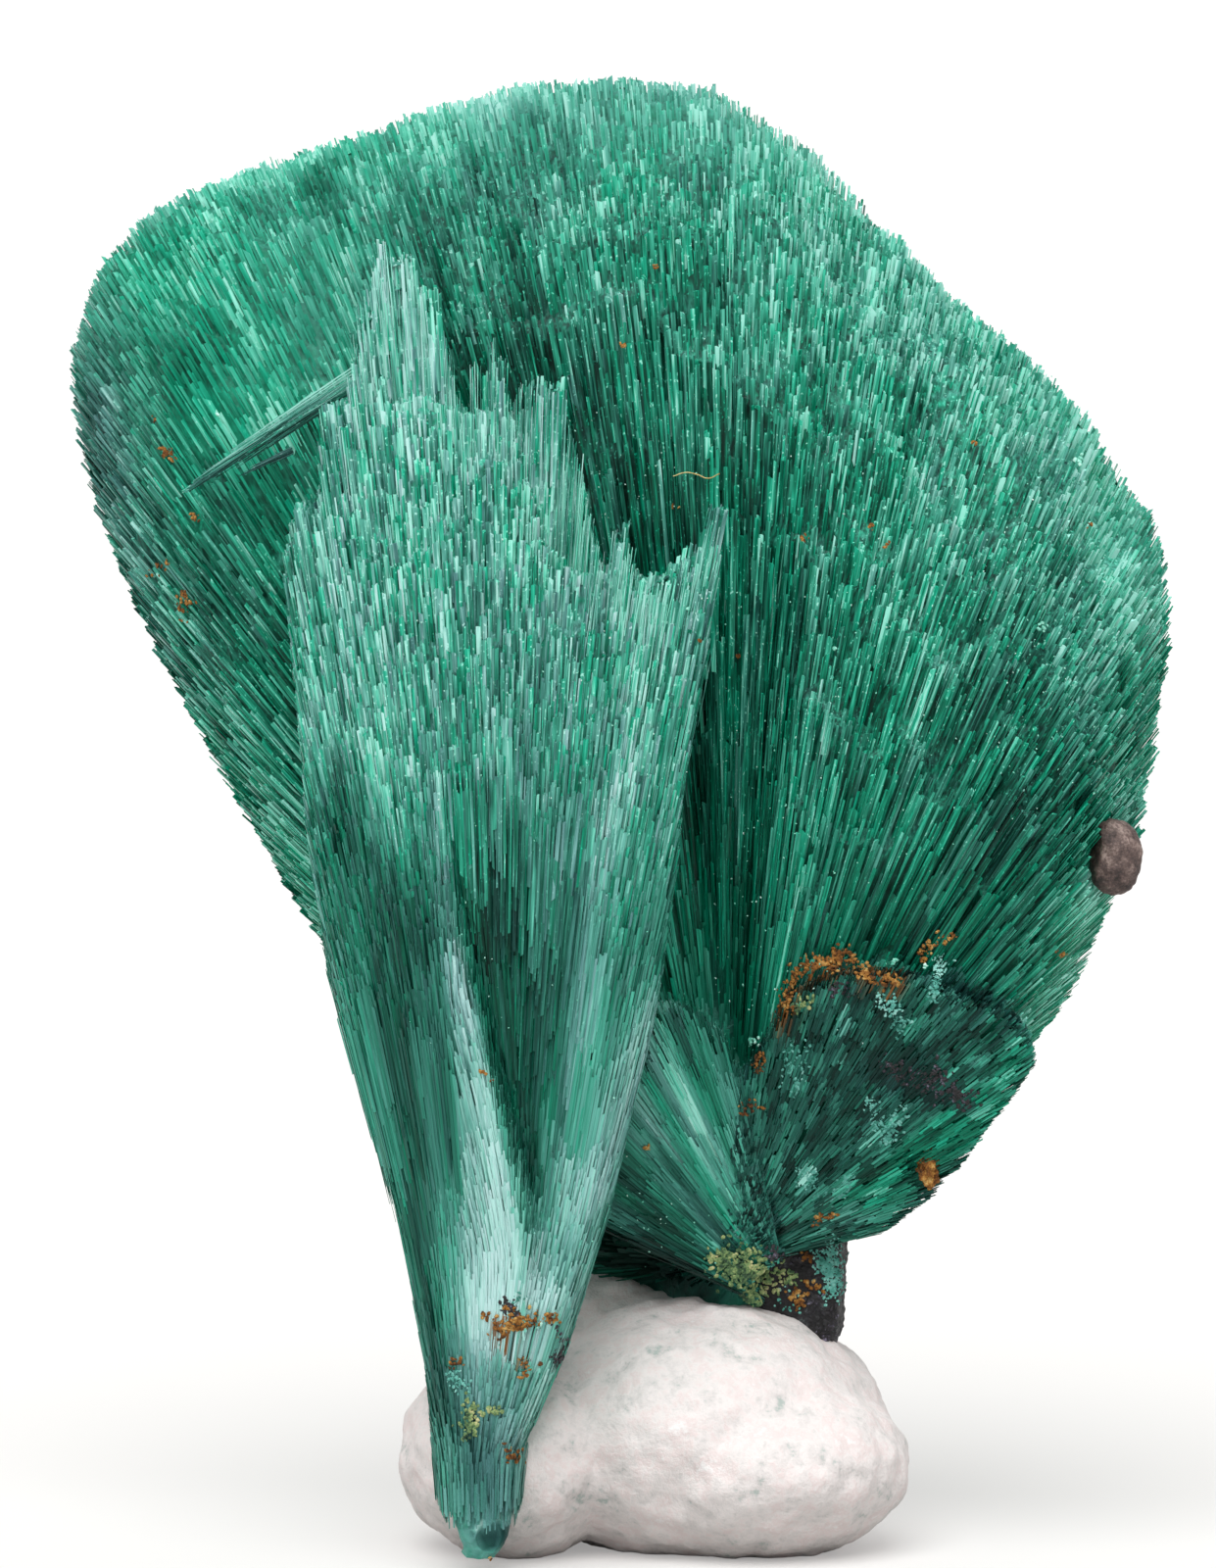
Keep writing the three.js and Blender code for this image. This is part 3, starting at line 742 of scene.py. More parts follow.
# The plate in front of its lower right: darker, its fibres lying close
plate = dict(
    fan, roots=[(0, 2.25, -0.7, 5.7)], centre=(2.25, -0.7, 5.7), buried=0.3,
    density=(150, 150, 170), loose=(5, 14), lathWide=0.1, width=(0.04, 0.1), length=(0.2, 0.5),
    clump=0.04, push=0.02, rows=(0, 0.25, 0.3),
    tone=0.3, grey=0.36, bundle=0.2, streak=0.12, thread=0.1, mottle=0.8, endTone=-0.1,
    strokes=[
        brush(0.24, -0.3, (5.5, 7.4, 0.4), (7.6, 9.4, 0.7), (8.6, 11, 0.6)),
        brush(0, -0.2, (5, 7.6, 0.5), (6.8, 9, 0.5)),
        brush(0.15, 0, (2.6, 10, 0.2), (2.3, 7, 0.2)),
        brush(-0.45, 0.4, (5.2, 10.2, 0.3), (6, 9.85, 0.3), (7.2, 9.4, 0.2)),
        brush(0, 0, (3.3, 11.2, 0.25), (3.7, 12, 0.2), (4.7, 12.2, 0.2), (5.6, 11.9, 0.2),
              rust=0.9, patchy=0.1),
    ] + [
        brush(0.34, 0.1, *line, patchy=0.14) for line in [
            [(6.3, 11.4, 0.16), (6.5, 12.3, 0.2)], [(5.3, 11.5, 0.2), (5.75, 10.9, 0.2)],
            [(4.5, 11.3, 0.2), (4.7, 11.0, 0.2)], [(3.45, 10.5, 0.2), (3.5, 9.7, 0.2)],
            [(4.5, 10.7, 0.14), (4.55, 10.3, 0.14)], [(4.0, 9.8, 0.16), (4.1, 9.3, 0.16)],
            [(5.12, 9.4, 0.12), (5.25, 8.7, 0.16)], [(5.8, 9.3, 0.12), (5.34, 8.4, 0.2)],
            [(3.8, 8.3, 0.14), (3.95, 7.9, 0.14)], [(3.75, 7.9, 0.2), (3.9, 7.4, 0.2)],
            [(4.85, 7.9, 0.12), (4.25, 7.1, 0.12)], [(2.4, 6.6, 0.2), (2.5, 6.2, 0.2)],
            [(4.7, 7.0, 0.14), (5.3, 6.9, 0.14)],
        ]
    ],
)
# The short pale spray that leans left from its own place in the root
spray = dict(
    fan, roots=[(0, 3.6, -0.9, 4.7)], centre=(3.6, -0.9, 4.7), buried=1.3,
    density=(90, 90, 120), loose=(6, 16), calm=0.4, lathWide=0.1, width=(0.03, 0.1), length=(1.2, 3.0),
    push=0.03, tone=0.48, grey=0.3, bundle=0.5, streak=0.5, thread=0.3, endTone=0.1,
    strokes=[
        # painted shade under the spray's lower edge by the root
        brush(-0.8, -0.1, (-0.8, 6.3, 0.7), (0.4, 5.9, 0.8), (1.6, 5.3, 0.5)),
        brush(-0.12, 0, (-0.6, 8.2, 0.5), (0.8, 6.8, 0.5)),
        brush(0.2, 0.25, (0.5, 10.8, 0.3), (1.5, 9, 0.3), (2.3, 7.4, 0.25)),
        brush(0.16, 0.2, (0.1, 10.4, 0.25), (0.7, 8.8, 0.25)),
    ],
)
# The front sheaf: pale and silky, its pale grey in part painted sheen, in ridges and gullies below that painted sheen
# and painted shade bring out, in rows of broken ends above
sheaf = dict(
    roots=[
        (1.5, -2.75, -4.3, -16), (2.3, -2.8, -4.3, -8), (2.8, -3.1, -4.3, 0), (4.3, -3.1, -4.3, 0),
        (6, -2.9, -4.3, -0.5), (9, -2.5, -4.3, -1), (12, -2.35, -4.3, -0.6),
    ],
    centre=(-2.35, -4.3, -0.6), buried=0.5, lowest=0.35,
    density=(80, 52, 80), backShare=0.4, loose=(11, 21), calm=0.35, lathWide=0.1,
    width=(0.035, 0.13), length=(0.9, 2.4), wander=0.016, roll=0.35,
    lift=0.0, liftSpread=0.02, clump=0.03, push=0.1, rows=(0.7, 0.14, 0.45),
    tone=0.61, grey=0.4, endTone=0.1, endGrey=0.0, bundle=0.16, streak=0.24, thread=0.2,
    toneSpread=0.06, greySpread=0.32,
    strokes=[
        brush(0.06, 0, (-4.4, 26.8, 1.6), (-4, 21, 2.2)),
        # painted sheen over the upper part of the sheaf
        brush(0.22, 0.05, (-4.7, 26.8, 0.9), (-4.3, 24.2, 1.1)),
        brush(-0.24, 0, (-3.9, 15.4, 0.5), (-3.85, 12.5, 0.5), (-3.6, 9.8, 0.4)),
        brush(-0.16, 0, (-2.6, 14.6, 0.8), (-1.8, 14.4, 1), (-0.2, 13.4, 0.9)),
        brush(0.14, 0, (-2.3, 22.9, 0.8), (-1.4, 21.2, 0.8)),
        brush(0.14, 0, (0.7, 20.5, 0.7), (0.2, 16, 0.7)),
        brush(0.14, 0, (-4.9, 17.6, 0.5), (-4.6, 15.2, 0.5)),
        # painted shade on the left flank, which faces away from the light
        brush(-0.32, -0.16, (-5.6, 15.6, 0.8), (-4.9, 13.4, 0.9), (-4.7, 11.4, 0.6), (-4.45, 9.4, 0.45),
              (-4.15, 7.4, 0.35), (-3.8, 5.4, 0.25), (-3.5, 3.5, 0.3)),
        # painted shadow in the gully beside the ridge
        brush(-0.34, -0.25, (-3.2, 15.2, 0.2), (-2.6, 13, 0.4), (-2.2, 11, 0.4), (-1.85, 9.4, 0.3),
              (-1.6, 7.8, 0.1), lean=-0.08, crisp=True),
        # painted shade in the gully
        brush(-0.22, -0.2, (-2.6, 15.4, 0.7), (-1.7, 12.8, 0.8), (-1.3, 10.4, 0.5)),
        # painted sheen along the ridges
        brush(0.1, 0.2, (-3.67, 16.5, 0.1), (-3.56, 14.1, 0.17), (-3.18, 11.9, 0.27), crisp=True),
        brush(0.23, 0.38, (-3.36, 12.9, 0.18), (-3.18, 11.9, 0.24), (-2.88, 9.7, 0.4), (-2.65, 7.5, 0.65),
              (-2.6, 5.85, 0.8), (-2.6, 5.1, 0.5), crisp=True),
        brush(-0.25, 0, (-2.2, 5.1, 0.4), (-1.6, 4.9, 0.4)),
        brush(0.2, 0.1, (-2.45, 8.8, 0.3), (-2.35, 7.3, 0.5), (-2.2, 6, 0.7)),
        brush(0.2, 0.25, (-1.7, 6.9, 0.25), (-1.6, 5.9, 0.4)),
        brush(0, 0, (-3.15, 11.8, 0.3), (-2.8, 9.4, 0.4), (-2.6, 7.4, 0.7), lean=-0.18, crisp=True),
        # painted sheen along the ridges on the right
        brush(0.17, 0.36, (0.95, 11.9, 0.28), (0.3, 10.7, 0.42), (-0.1, 9.7, 0.5), (-0.63, 8.6, 0.6),
              (-0.9, 7.5, 0.65), (-1, 5.85, 0.65)),
        brush(0, 0.2, (-0.9, 12.5, 0.5), (-1, 10, 0.35), (-1.05, 8.6, 0.3)),
        brush(0.1, 0.3, (1, 11.6, 0.16), (0.75, 10.9, 0.22), (0.35, 9.7, 0.25), (-0.25, 8, 0.25),
              crisp=True),
        brush(0.2, 0.25, (-2.1, 5.2, 0.8), (-2, 4.2, 0.5), (-2, 3, 0.35)),
        brush(0.2, 0.1, (-1.35, 4.4, 0.15), (-1.7, 3.5, 0.12)),
        brush(-0.15, 0, (-2.45, 5.32, 0.14), (-2, 5.1, 0.3), (-1.5, 5.05, 0.22), rust=0.9, crisp=True),
        brush(0, 0, (-2.05, 5, 0.18), (-1.95, 4.5, 0.1), rust=0.85, crisp=True),
        # painted shade in the pit's two holes
        brush(-0.9, 0, (-2.32, 5.62, 0.14), (-2.15, 5.45, 0.16), crisp=True),
        brush(-0.9, 0, (-1.45, 5, 0.16), (-1.2, 4.75, 0.14), (-1.22, 4.45, 0.12), crisp=True),
        brush(-0.06, 0.45, (-3.2, 4.5, 0.7), (-2.6, 3, 0.8), (-2.5, 1, 0.7)),
        brush(-0.2, 0, (-2.9, 3, 0.4), (-2.75, 2.2, 0.4)),
        # painted highlight on the rim of the broken end, painted shade inside its hollow
        brush(0.35, 0, (-2.87, 0.98, 0.08), (-2.65, 1.2, 0.1), (-2.4, 1.25, 0.1), (-2.14, 1, 0.08),
              crisp=True),
        brush(-0.35, 0, (-2.6, 0.75, 0.26), (-2.3, 0.8, 0.26), crisp=True),
        brush(0.1, 0.3, (0.1, 16, 0.3), (-0.55, 14, 0.3), (-0.75, 11.4, 0.25)),
    ],
)
# Splinters stand along the sheaf's broken top and right rim. Each pair, x and z, is the tip of a
# small bundle, its other needles a little lower.
splinters = dict(
    tips=[
        (-5.39, 24.29), (-5.24, 25.01), (-5.13, 25.67), (-4.87, 26.36), (-4.7, 26.72), (-4.29, 26.48),
        (-3.98, 25.77), (-3.59, 25.69), (-3.44, 25.39), (-3.06, 23.49), (-2.9, 24.38), (-2.6, 24.85),
        (-2.46, 24.21), (-2.22, 23.73), (-1.98, 23.93), (-1.75, 23.97), (-1.45, 23.95), (-1.15, 23.52),
        (-0.91, 23.01), (-0.76, 22.32), (-0.58, 21.66), (-0.52, 20.65), (-0.4, 20.47), (-0.04, 21.06),
        (0.07, 20.72), (0.26, 20.7), (0.55, 20.01), (0.73, 19.97), (1.04, 19.97), (1.33, 20.53),
        (1.58, 20.67), (1.85, 21.3), (1.92, 21.44),
        (1.16, 11.96), (1.08, 11.75), (1.02, 11.5), (0.9, 11.25), (0.82, 10.9), (0.66, 10.5),
        (-6.52, 20.62), (-6.4, 21.41), (-5.93, 22.2), (-5.64, 23.1),
    ],
    perBundle=12, spread=0.07, drop=0.35, hold=1.3, beside=0,
)
splinterGrowth = dict(
    sheaf, width=(0.04, 0.12), length=(1.4, 2.2), push=0.0, rows=(0, 0.1, 0.5), wander=0.03,
    liftSpread=0.04, tone=0.72, calm=0.6,
)
# Longer ones stand beside the sheaf's steps, so that its right side runs down at a slant
sideSplinters = dict(
    tips=[
        (-3.58, 25.1), (-3.5, 24.8), (-3.42, 24.45), (-3.32, 24.1), (-3.2, 23.75),
        (-1.08, 23.35), (-1, 23.1), (-0.92, 22.8), (-0.84, 22.5), (-0.76, 22.2), (-0.7, 21.9),
        (-0.63, 21.6), (-0.58, 21.3), (-0.52, 21), (-0.45, 20.75),
    ],
    perBundle=16, spread=0.045, drop=0.5, hold=0.6, beside=-0.8,
)
sideGrowth = dict(splinterGrowth, length=(2.4, 3.4), wander=0.012, tone=0.62)
# The thin blade that sticks out to the left behind the sheaf's top, and a dark sliver below it:
# fibres along its length, with a painted highlight along its upper edge and painted shade along its lower one
bladeFibre = dict(
    taper=[(0.2, 1), (0.75, 0.9), (1, 0.15)],    # how wide the blade is by the way along it
    wander=0.015, length=(1.0, 2.4), width=(0.05, 0.12), flat=0.7,
    toneSpread=0.07, greySpread=0.15, tailPart=0.45, shift=40,
)
blades = [
    dict(tail=(-5.2, -2.7, 24.05), tip=(-8.85, -1.6, 21.6), count=150, halfWide=0.22, halfThick=0.15,
         toneBelow=0.1, toneAbove=1.0, tailTone=0.3, grey=0.55),
    dict(tail=(-6.6, -2.1, 22.5), tip=(-7.7, -1.75, 21.95), count=40, halfWide=0.08, halfThick=0.08,
         toneBelow=0.02, toneAbove=0.5, tailTone=0.1, grey=0.8),
]

# Which part of the fan's skin belongs to the plate and to the spray. rim is the angle and reach of
# its edge as seen from the root, and its front stands out from the fan the more, the further out.
plateArea = dict(
    root=(2.25, 0.3, 5.7), stands=1.0, slope=0.4,
    rim=[(3, 4.2), (10, 5.7), (18, 6.6), (30, 7.4), (42, 7.7), (52, 8), (60, 5.9), (68, 4.5), (78, 3.2)],
)
sprayArea = dict(
    root=(3.6, -0.3, 4.7), stands=0.9, slope=0.19,
    rim=[(-66, 4.7), (-56, 5.6), (-46, 6.4), (-36, 6.9), (-27, 7.2), (-20, 7.1), (-12, 6.2)],
)


def onBranch(skin, area):
    past, behind = 0.35, 0.8    # mm taken in beyond the rim, and behind the front
    away = skin["points"] - np.array(area["root"])
    angle = np.degrees(np.arctan2(away[:, 0], away[:, 2]))
    out = np.hypot(away[:, 0], away[:, 2])
    reach = np.interp(angle, *zip(*area["rim"]), left=0, right=0)
    return (out < reach + past) & (away[:, 1] < -area["stands"] - area["slope"] * out + behind)


onPlate = onBranch(fanSkin, plateArea)
onSpray = onBranch(fanSkin, sprayArea) & ~onPlate
x, z = fanSkin["points"][:, [0, 2]].T
plateSide = np.interp(z, (5.9, 7.0, 8.2, 9.2, 10.3), (2.1, 2.25, 2.45, 2.65, 2.9))
onPlate |= onSpray & (x > plateSide)
onSpray &= x <= plateSide
atRoot = (z < 5.3) & ~onSpray
onFan = ~(onPlate | onSpray | atRoot)
facesBack = fanSkin["normals"][:, 1] > 0.3
front = onFan & ~facesBack
fanNeedles = [
    growNeedles("fan_needles_left", fanSkin, front & (x < -1.5), fan, 11),
    growNeedles("fan_needles_middle", fanSkin, front & (abs(x - 1.5) <= 3), fan, 12),
    growNeedles("fan_needles_right", fanSkin, front & (x > 4.5), fan, 13),
    growNeedles("fan_needles_back", fanSkin, onFan & facesBack, fan, 14),
    growNeedles("plate_needles", fanSkin, onPlate, plate, 15),
    growNeedles("spray_needles", fanSkin, onSpray, spray, 16),
]

# The sheaf's foot ends in a small hollow break that faces the front, and two holes open in its rust
brokenEnd = dict(centre=(-2.48, -5.05, 0.76), radius=0.42)
pitHollows = [
    dict(centre=(-2.22, -4.75, 5.5), radius=0.28),
    dict(centre=(-1.3, -4.1, 4.75), radius=0.3),
]

x, z = sheafSkin["points"][:, [0, 2]].T
inPit = np.hypot((x + 1.75) / 0.7, (z - 4.95) / 0.42) < 1
inEnd = np.linalg.norm(sheafSkin["points"] - np.array(brokenEnd["centre"]), axis=1) < brokenEnd["radius"]

bareFoot, middle = 1.4, 13
sheafNeedles = [
    growNeedles("sheaf_needles_low", sheafSkin, ~inPit & ~inEnd & (z > bareFoot) & (z <= middle), sheaf, 17),
    growNeedles("sheaf_needles_high", sheafSkin, z > middle, sheaf, 18),
]


def growSplinters(name, spec, growth, seed):
    random = np.random.default_rng(seed)
    tips = []
    for x, z in spec["tips"]:
        found = onSurface(x * 0.99 + spec["beside"], z - spec["hold"], [skinTrees["sheaf_mass"]])
        if found:
            tips.append((x, found[0][1] - 0.02 * spec["hold"], z))
    first = np.arange(len(tips)) * spec["perBundle"]
    places = np.repeat(np.array(tips), spec["perBundle"], axis=0)
    count = len(places)
    places += random.normal(0, spec["spread"], (count, 3)) * (1, 0.8, 0)
    places[:, 2] -= random.exponential(spec["drop"], count)
    places[first] = np.array(tips)
    normal = np.tile((0.0, -1.0, 0.0), (count, 1))
    return plantNeedles(name, places, normal, growth, random, shape="splinter")


def layBlade(name, spec, seed):
    random = np.random.default_rng(seed)
    tail, tip = np.array(spec["tail"]), np.array(spec["tip"])
    count, reach = spec["count"], np.linalg.norm(tip - tail)
    along = (tip - tail) / reach
    over = unit(np.cross(along, (0.0, -1.0, 0.0)))
    over = over * np.sign(over[2])
    out = np.cross(over, along)
    out = out * -np.sign(out[1])
    side = np.cross(out, along)
    parts, widths = zip(*bladeFibre["taper"])
    part = np.sort(random.uniform(parts[0], parts[-1], count))
    narrow = np.interp(part, parts, widths)
    height = random.uniform(-1, 1, count) * narrow
    depth = random.uniform(-1, 1, count) * narrow * np.sqrt(1 - 0.8 * height ** 2)
    places = (tail + along * (reach * part)[:, None] + over * (height * spec["halfWide"])[:, None]
              + out * (depth * spec["halfThick"])[:, None])
    fibre = unit(along + random.normal(0, bladeFibre["wander"], (count, 3)))
    length = np.minimum(random.uniform(*bladeFibre["length"], count), reach * part)[:, None]
    width = random.uniform(*bladeFibre["width"], count)[:, None]
    axes = np.stack([side * width, out * bladeFibre["flat"] * width, fibre * length], axis=1)
    # painted light and shade: darker towards the lower edge, lighter towards the upper one
    tone = np.interp(height, (-1, 0.2, 1), (spec["toneBelow"], 0.5 * spec["toneAbove"], spec["toneAbove"]))
    tone += spec["tailTone"] * (part < bladeFibre["tailPart"])
    tone += random.normal(0, bladeFibre["toneSpread"], count)
    grey = np.clip(spec["grey"] + random.normal(0, bladeFibre["greySpread"], count), 0, 1)
    values = dict(tone=np.clip(tone, 0, 1), grey=grey, rust=np.zeros(count), apart=np.ones(count))
    shift = random.uniform(0, bladeFibre["shift"], count)

    def drawn(points):
        way = points - tail
        return np.stack([way @ over, way @ out, way @ along], axis=-1) + shift[:, None, None]

    return stampCopies(name, shapes["splinter"], places, axes, needleSilk, values, drawn)


sheafNeedles.append(growSplinters("sheaf_splinters", splinters, splinterGrowth, 19))
sheafNeedles.append(growSplinters("sheaf_side_splinters", sideSplinters, sideGrowth, 20))
for number, spec in enumerate(blades):
    sheafNeedles.append(layBlade(f"blade_{number + 1}", spec, 30 + number))


# The masses under the needles: the same skins, darker with painted shade where the needles cover them, and drawn in but
# for the foot's bare end, with ridges along the fibres and round hollows where a hollow's ball reaches in
def carveMass(obj, growth, spec, hollows):
    vertices = obj.data.vertices
    places = readAll(vertices, "co") / mm
    fanned = fannedOut(places, growth["centre"])
    lift = spec["ridges"] * (softNoise(fanned / pattern["ridge"], 8) - 0.5)
    lift -= spec["shrink"] * np.interp(places[:, 2], (1.3, 2.4), (0.2, 1))
    places += readAll(vertices, "normal") * lift[:, None]
    for hollow in hollows:
        centre, radius = np.array(hollow["centre"]), hollow["radius"]
        away = places - centre
        far = np.linalg.norm(away, axis=1, keepdims=True)
        places = np.where(far < radius, centre + away / far * radius, places)
    writeAll(vertices, "co", places * mm)
    obj.data.update()


def finishMass(obj, growth, spec, hollows=()):
    carveMass(obj, growth, spec, hollows)
    places, normals = readAll(obj.data.vertices, "co") / mm, readAll(obj.data.vertices, "normal")
    fibres = unit(places - rootOf(places, growth))
    values = paint(places, normals, fibres, growth, np.random.default_rng(5))
    # painted shade: the mass darkens above the foot's bare end, where it lies in the gaps between the needles
    values["tone"] = values["tone"] * np.interp(places[:, 2], (1.2, 3), (1, spec["darker"]))
    values["apart"] = looseness(places, growth)
    values["along"] = values["across"] = np.zeros(len(places))
    giveAttributes(obj.data, values, fannedOut(places, growth["centre"]))
    obj.data.materials.append(massSilk)


finishMass(fanMass, fan, fanBody)
finishMass(sheafMass, sheaf, sheafBody, [brokenEnd] + pitHollows)

print("masses finished")


# Lumps: an icosphere at its place, cut to planes, then pushed about by coarse and fine clouds. Each
# cut is a place on its plane and the way that it faces.
rock = dict(
    place=(3.3, 0.85, 5), size=(1.75, 1.6, 1.8), rough=0.14, fine=0.12, cloud=0.8,
    cuts=[
        ((4.52, 0, 5.2), (1, -0.1, -0.06)), ((3.3, -0.5, 5), (0.1, -1, 0.1)),
        ((3.8, 0, 3.75), (0.2, 0.1, -1)), ((3.8, 0, 6.3), (0.3, 0, 1)), ((4, 1.9, 5), (0.5, 1, 0.2)),
    ],
)
nodule = dict(
    place=(9.98, -2.5, 14.3), size=(0.58, 0.48, 0.78), rough=0.12, fine=0.05, cloud=0.6,
    cuts=[((9.6, -2.5, 14.3), (-1, -0.2, 0.1))],
)
ochre = dict(place=(6.28, -2.2, 7.93), size=(0.2, 0.26, 0.4), rough=0.3, fine=0.18, cloud=0.3, cuts=[])


def modelLump(name, spec, material):
    deselect()
    bpy.ops.mesh.primitive_ico_sphere_add(subdivisions=5, radius=mm, scale=spec["size"],
                                          location=[c * mm for c in spec["place"]])
    obj = atOrigin(bpy.context.object)
    obj.name = obj.data.name = name + "_surface"
    editMode(True)
    for place, facing in spec["cuts"]:
        cutAway(place, facing, clear_outer=True)
    editMode(False)
    if spec["cuts"]:
        modified(obj, "REMESH", mode="VOXEL", voxel_size=max(spec["size"]) / 28 * mm)
    displaced(obj, spec["cloud"], spec["rough"])
    displaced(obj, spec["cloud"] / 5, spec["fine"])
    obj.data.materials.append(material)
    only(obj)
    bpy.ops.object.shade_smooth_by_angle(angle=radians(40))
    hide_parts(name)
    return obj


rockPiece = modelLump("matrix_rock", rock, darkRock)
nodulePiece = modelLump("iron_nodule", nodule, ironstone)
ochrePiece = modelLump("ochre_lump", ochre, limonite)


# The putty: lobes pressed together and smoothed by thumbs, flat where it sits on the table. Each
# lobe is its place and its half size.
puttyBlob = dict(
    lobes=[
        ((1.45, 0.15, 2.3), (3.95, 4.1, 2.8)),
        ((-2.15, -0.9, 1.95), (2.36, 3.45, 2.15)),
        ((2.8, -1.1, 1.75), (3.2, 3.2, 1.9)),
        ((-0.35, 0.8, 3.4), (2, 1.7, 2.1)),
    ],
    voxel=0.1, smoothing=22,
    dents=[(1.6, 0.32), (0.6, 0.2)],    # size and depth in mm, of thumb dents and of prints
)


def modelPutty(spec):
    parts = []
    for place, halfSize in spec["lobes"]:
        deselect()
        bpy.ops.mesh.primitive_uv_sphere_add(segments=48, ring_count=24, radius=mm,
                                             location=[c * mm for c in place], scale=halfSize)
        parts.append(atOrigin(bpy.context.object))
    for part in parts:
        part.select_set(True)
    bpy.context.view_layer.objects.active = parts[0]
    bpy.ops.object.join()
    blob = bpy.context.object
    blob.name = blob.data.name = "putty_blob"
    modified(blob, "REMESH", mode="VOXEL", voxel_size=spec["voxel"] * mm)
    modified(blob, "SMOOTH", factor=0.5, iterations=spec["smoothing"])
    for size, strength in spec["dents"]:
        displaced(blob, size, strength)
    only(blob)
    editMode(True)
    cutAway((0, 0, 0), (0, 0, 1), clear_inner=True)
    editMode(False)
    blob.data.materials.append(putty)
    bpy.ops.object.shade_smooth_by_angle(angle=radians(40))
    return blob


puttyPiece = modelPutty(puttyBlob)
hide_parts("putty_base")

print("lumps and putty modelled")


# Grains and crusts. Each patch is a half-width, a number of grains, and a line of x and z as seen
# from the front: the grains lie where a line of sight meets the surface. flat is their height as a
# share of their size, and stand is how far they stand out, as a share of that height.
rustGrains = dict(
    shape="grain", seed=41, size=(0.03, 0.1), flat=0.6, stand=0.3,
    patches=[
        (0.1, 30, (-9.28, 22.5), (-9.16, 22.2)), (0.05, 6, (-9.47, 23), (-9.45, 22.95)),
        (0.07, 8, (-8.63, 21.05), (-8.6, 20.95)), (0.1, 12, (-9.76, 19.84), (-9.11, 20.05)),
        (0.12, 34, (-8.93, 19.6), (-8.9, 18.9)), (0.05, 4, (0.1, 24.6), (0.1, 24.58)),
        (0.05, 4, (0.75, 26.16), (0.75, 26.1)), (0.05, 5, (1.11, 21.36), (1.13, 21.3)),
        (0.05, 4, (7.2, 22.65), (7.2, 22.6)), (0.06, 7, (5.09, 21.01), (5.07, 20.95)),
        (0.05, 4, (3.73, 20.69), (3.7, 20.75)), (0.05, 4, (9.55, 20.97), (9.5, 20.9)),
        (0.04, 3, (2.42, 18.33), (2.42, 18.3)), (0.04, 3, (1.63, 18.76), (1.63, 18.7)),
        (0.05, 4, (5.38, 20.65), (5.4, 20.6)), (0.05, 6, (0.55, 8.4), (0.56, 8.33)),
        (0.05, 12, (8.8, 12.42), (9, 12.3)), (0.04, 7, (-2.74, 10.33), (-2.5, 10.18)),
        (0.05, 10, (-2.74, 5.38), (-2.64, 5.34)),
        # along the plate's upper left rim, and down its left side
        (0.12, 210, (3.3, 11.2), (3.45, 11.55), (3.64, 12.02), (3.9, 12.2), (4.28, 12.12), (4.4, 12.4)),
        (0.1, 130, (4.28, 12.07), (4.6, 12.4), (4.8, 12.1), (5.03, 11.98), (5.3, 11.9), (5.6, 11.92)),
        (0.1, 55, (6.1, 12.2), (6.25, 12.5), (6.59, 12.7), (6.75, 12.85)),
        (0.08, 26, (2.92, 10.35), (2.83, 10.12), (2.78, 9.9)), (0.12, 24, (2.7, 9.3), (2.6, 9.1)),
        # by the lower edge, at the root, on the rock and in the foot's pit
        (0.08, 22, (4.1, 6.88), (4.05, 6.65)), (0.05, 14, (4.13, 6.82), (4.5, 6.92)),
        (0.1, 16, (3.77, 5.83), (3.9, 5.95)), (0.14, 40, (3.58, 5.15), (3.68, 4.95)),
        (0.1, 16, (3.85, 5.35), (4.05, 5.3)), (0.22, 260, (-2.3, 5.2), (-2, 5.05), (-1.7, 5.1)),
        (0.16, 180, (-1.95, 5), (-1.85, 4.35)), (0.08, 18, (-1.45, 5.35), (-1.3, 5.25)),
        (0.1, 14, (-3.35, 4.35), (-3.15, 4.4)), (0.12, 26, (-2.2, 2.6), (-2.05, 2.4)),
        (0.06, 6, (-2.6, 0.35), (-2.55, 0.28)),
    ],
)
blackGrains = dict(
    shape="grain", seed=42, size=(0.04, 0.11), flat=0.4, stand=0.1,
    patches=[
        (0.17, 230, (5.3, 10.15), (5.75, 9.95), (6.3, 9.75), (6.9, 9.5), (7.1, 9.42)),
        (0.2, 60, (6.2, 9.95), (6.6, 9.75)), (0.13, 40, (4.3, 11.72), (4.7, 11.68)),
        (0.12, 60, (-2.28, 5.6), (-2.1, 5.42)), (0.12, 80, (-1.45, 4.95), (-1.25, 4.85), (-1.15, 4.65)),
        (0.1, 40, (-1.3, 4.5), (-1.15, 4.38)), (0.14, 60, (3, 6.2), (3.4, 5.95), (3.85, 5.8)),
        (0.25, 120, (4.3, 4.9), (4.4, 4.3), (4.3, 4)), (0.12, 30, (3.9, 5.05), (4.05, 5)),
    ],
)
